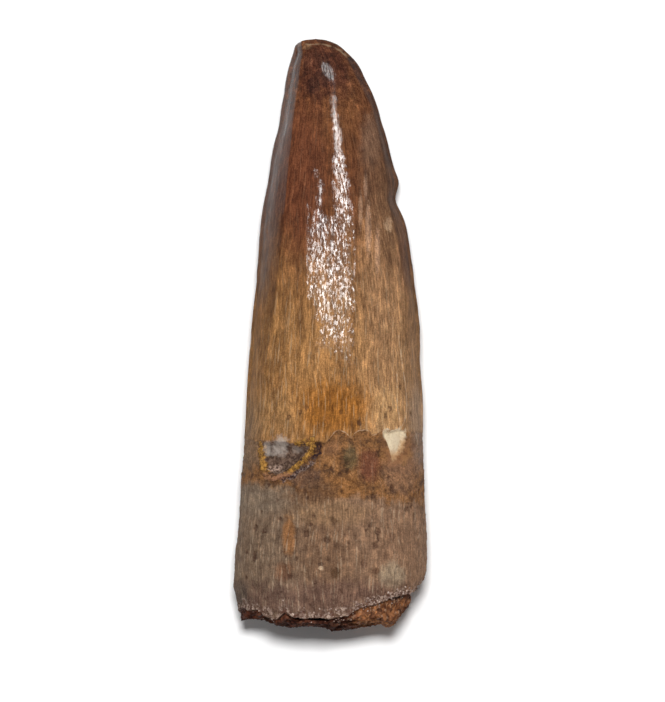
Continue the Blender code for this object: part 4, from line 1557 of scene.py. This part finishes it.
# The studio, in metres.
FLOOR_SIZE = 4.0
KEY_SIZE = (0.17, 0.13)
KEY_PLACE = (0.0, 0.168, 1.2)
KEY_TARGET = (0.0, 0.0, 0.0)
SOFTBOX_SIZE = (0.30, 0.42)
SOFTBOX_PLACE = (0.05, 0.32, 0.42)
SOFTBOX_TARGET = (0.0, 0.0, 0.01)
SOFTBOX_TURN = math.radians(-10.0)
# How bright the surroundings are in reflections and behind the tooth.
DARK_ROOM = 0.03
BACKDROP = 0.9
# The photo's scale and height, its middle pixel and the pixel at the frame's origin.
PIXEL = 0.118 * MM
PHOTO_HEIGHT = 702
PHOTO_MIDDLE = (332.5, 351.0)
ORIGIN_PIXEL = (330.0, 334.5)
PICTURE_MIDDLE = (
    PIXEL * (PHOTO_MIDDLE[0] - ORIGIN_PIXEL[0]),
    PIXEL * (ORIGIN_PIXEL[1] - PHOTO_MIDDLE[1]),
)
OUTLINE_LEVEL = 0.008
CLIP_START = 0.1
CLIP_END = 10.0


def add_lamp(name, power, size, place, target):
    """A rectangular lamp in the scene, turned towards the target."""
    data = bpy.data.lights.new(name, "AREA")
    data.energy = power
    data.shape = "RECTANGLE"
    data.size, data.size_y = size
    lamp = bpy.data.objects.new(name, data)
    bpy.context.scene.collection.objects.link(lamp)
    lamp.location = place
    lamp.rotation_euler = (Vector(target) - Vector(place)).to_track_quat("-Z", "Y").to_euler()
    return lamp


def make_stage(scene):
    """Floor, world, lights, camera and the plain view transform."""
    settings = scene.stage_settings
    bm = bmesh.new()
    bmesh.ops.create_grid(bm, x_segments=1, y_segments=1, size=FLOOR_SIZE / 2)
    mesh = bpy.data.meshes.new("floor")
    bm.to_mesh(mesh)
    bm.free()
    bench = FinishBench("pale_floor")
    bench.shade(Base_Color=tuple(settings.floor_colour), Roughness=1.0, Specular_IOR_Level=0.0)
    mesh.materials.append(bench.material)
    floor = bpy.data.objects.new("floor", mesh)
    scene.collection.objects.link(floor)

    world = bpy.data.worlds.new("studio")
    world.use_nodes = True
    scene.world = world
    bench = NodeBench(world.node_tree)
    shade = world.node_tree.nodes["Background"]
    shade.inputs["Color"].default_value = (1.0, 1.0, 1.0, 1.0)
    path = bench.add("ShaderNodeLightPath")
    strength = bench.blend(path.outputs["Is Glossy Ray"], settings.sky_strength, DARK_ROOM)
    strength = bench.blend(path.outputs["Is Camera Ray"], strength, BACKDROP)
    bench.put(shade.inputs["Strength"], strength)

    key = add_lamp("key", settings.key_power, KEY_SIZE, KEY_PLACE, KEY_TARGET)
    key.visible_glossy = False
    softbox = add_lamp(
        "softbox", settings.softbox_power, SOFTBOX_SIZE, SOFTBOX_PLACE, SOFTBOX_TARGET
    )
    softbox.visible_diffuse = False
    softbox.rotation_euler.rotate_axis("Z", SOFTBOX_TURN)

    camera = bpy.data.objects.new("camera", bpy.data.cameras.new("camera"))
    camera.data.lens = settings.lens
    distance = settings.lens * (PIXEL * PHOTO_HEIGHT) / camera.data.sensor_width
    camera.location = (*PICTURE_MIDDLE, OUTLINE_LEVEL + distance)
    camera.data.clip_start = CLIP_START
    camera.data.clip_end = CLIP_END
    scene.collection.objects.link(camera)
    scene.camera = camera
    scene.view_settings.view_transform = "Standard"


class TOOTH_PT_panel(bpy.types.Panel):
    """Lists the settings and the steps that build the tooth"""

    bl_idname = "TOOTH_PT_panel"
    bl_label = "Fossil Tooth"
    bl_space_type = "VIEW_3D"
    bl_region_type = "UI"
    bl_category = "Fossil Tooth"

    def draw(self, context):
        """Shows each group of settings above the step that uses it."""
        for settings, steps in PANEL_STEPS:
            box = self.layout.box()
            group = getattr(context.scene, settings)
            for name in group.bl_rna.properties.keys():
                if name not in ("rna_type", "name"):
                    box.prop(group, name)
            for step in steps:
                box.operator(step)


PANEL_STEPS = (
    ("tooth_settings", ("fossil_tooth.make_surface",)),
    ("rock_settings", ("fossil_tooth.make_sandstone", "fossil_tooth.make_grains")),
    ("stage_settings", ("fossil_tooth.make_stage",)),
)
CLASSES = (
    ToothSettings,
    RockSettings,
    StageSettings,
    TOOTH_OT_make_surface,
    TOOTH_OT_make_sandstone,
    TOOTH_OT_make_grains,
    TOOTH_OT_make_stage,
    TOOTH_PT_panel,
)


def register():
    """Registers the classes and the scene's settings."""
    for cls in CLASSES:
        bpy.utils.register_class(cls)
    bpy.types.Scene.tooth_settings = PointerProperty(type=ToothSettings)
    bpy.types.Scene.rock_settings = PointerProperty(type=RockSettings)
    bpy.types.Scene.stage_settings = PointerProperty(type=StageSettings)


def unregister():
    """Removes the scene's settings and the classes."""
    del bpy.types.Scene.stage_settings
    del bpy.types.Scene.rock_settings
    del bpy.types.Scene.tooth_settings
    for cls in reversed(CLASSES):
        bpy.utils.unregister_class(cls)


def main():
    """Builds everything in order."""
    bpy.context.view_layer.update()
    register()
    bpy.ops.fossil_tooth.make_surface()
    bpy.ops.fossil_tooth.make_sandstone()
    bpy.ops.fossil_tooth.make_grains()
    bpy.ops.fossil_tooth.make_stage()


if __name__ == "__main__":
    main()
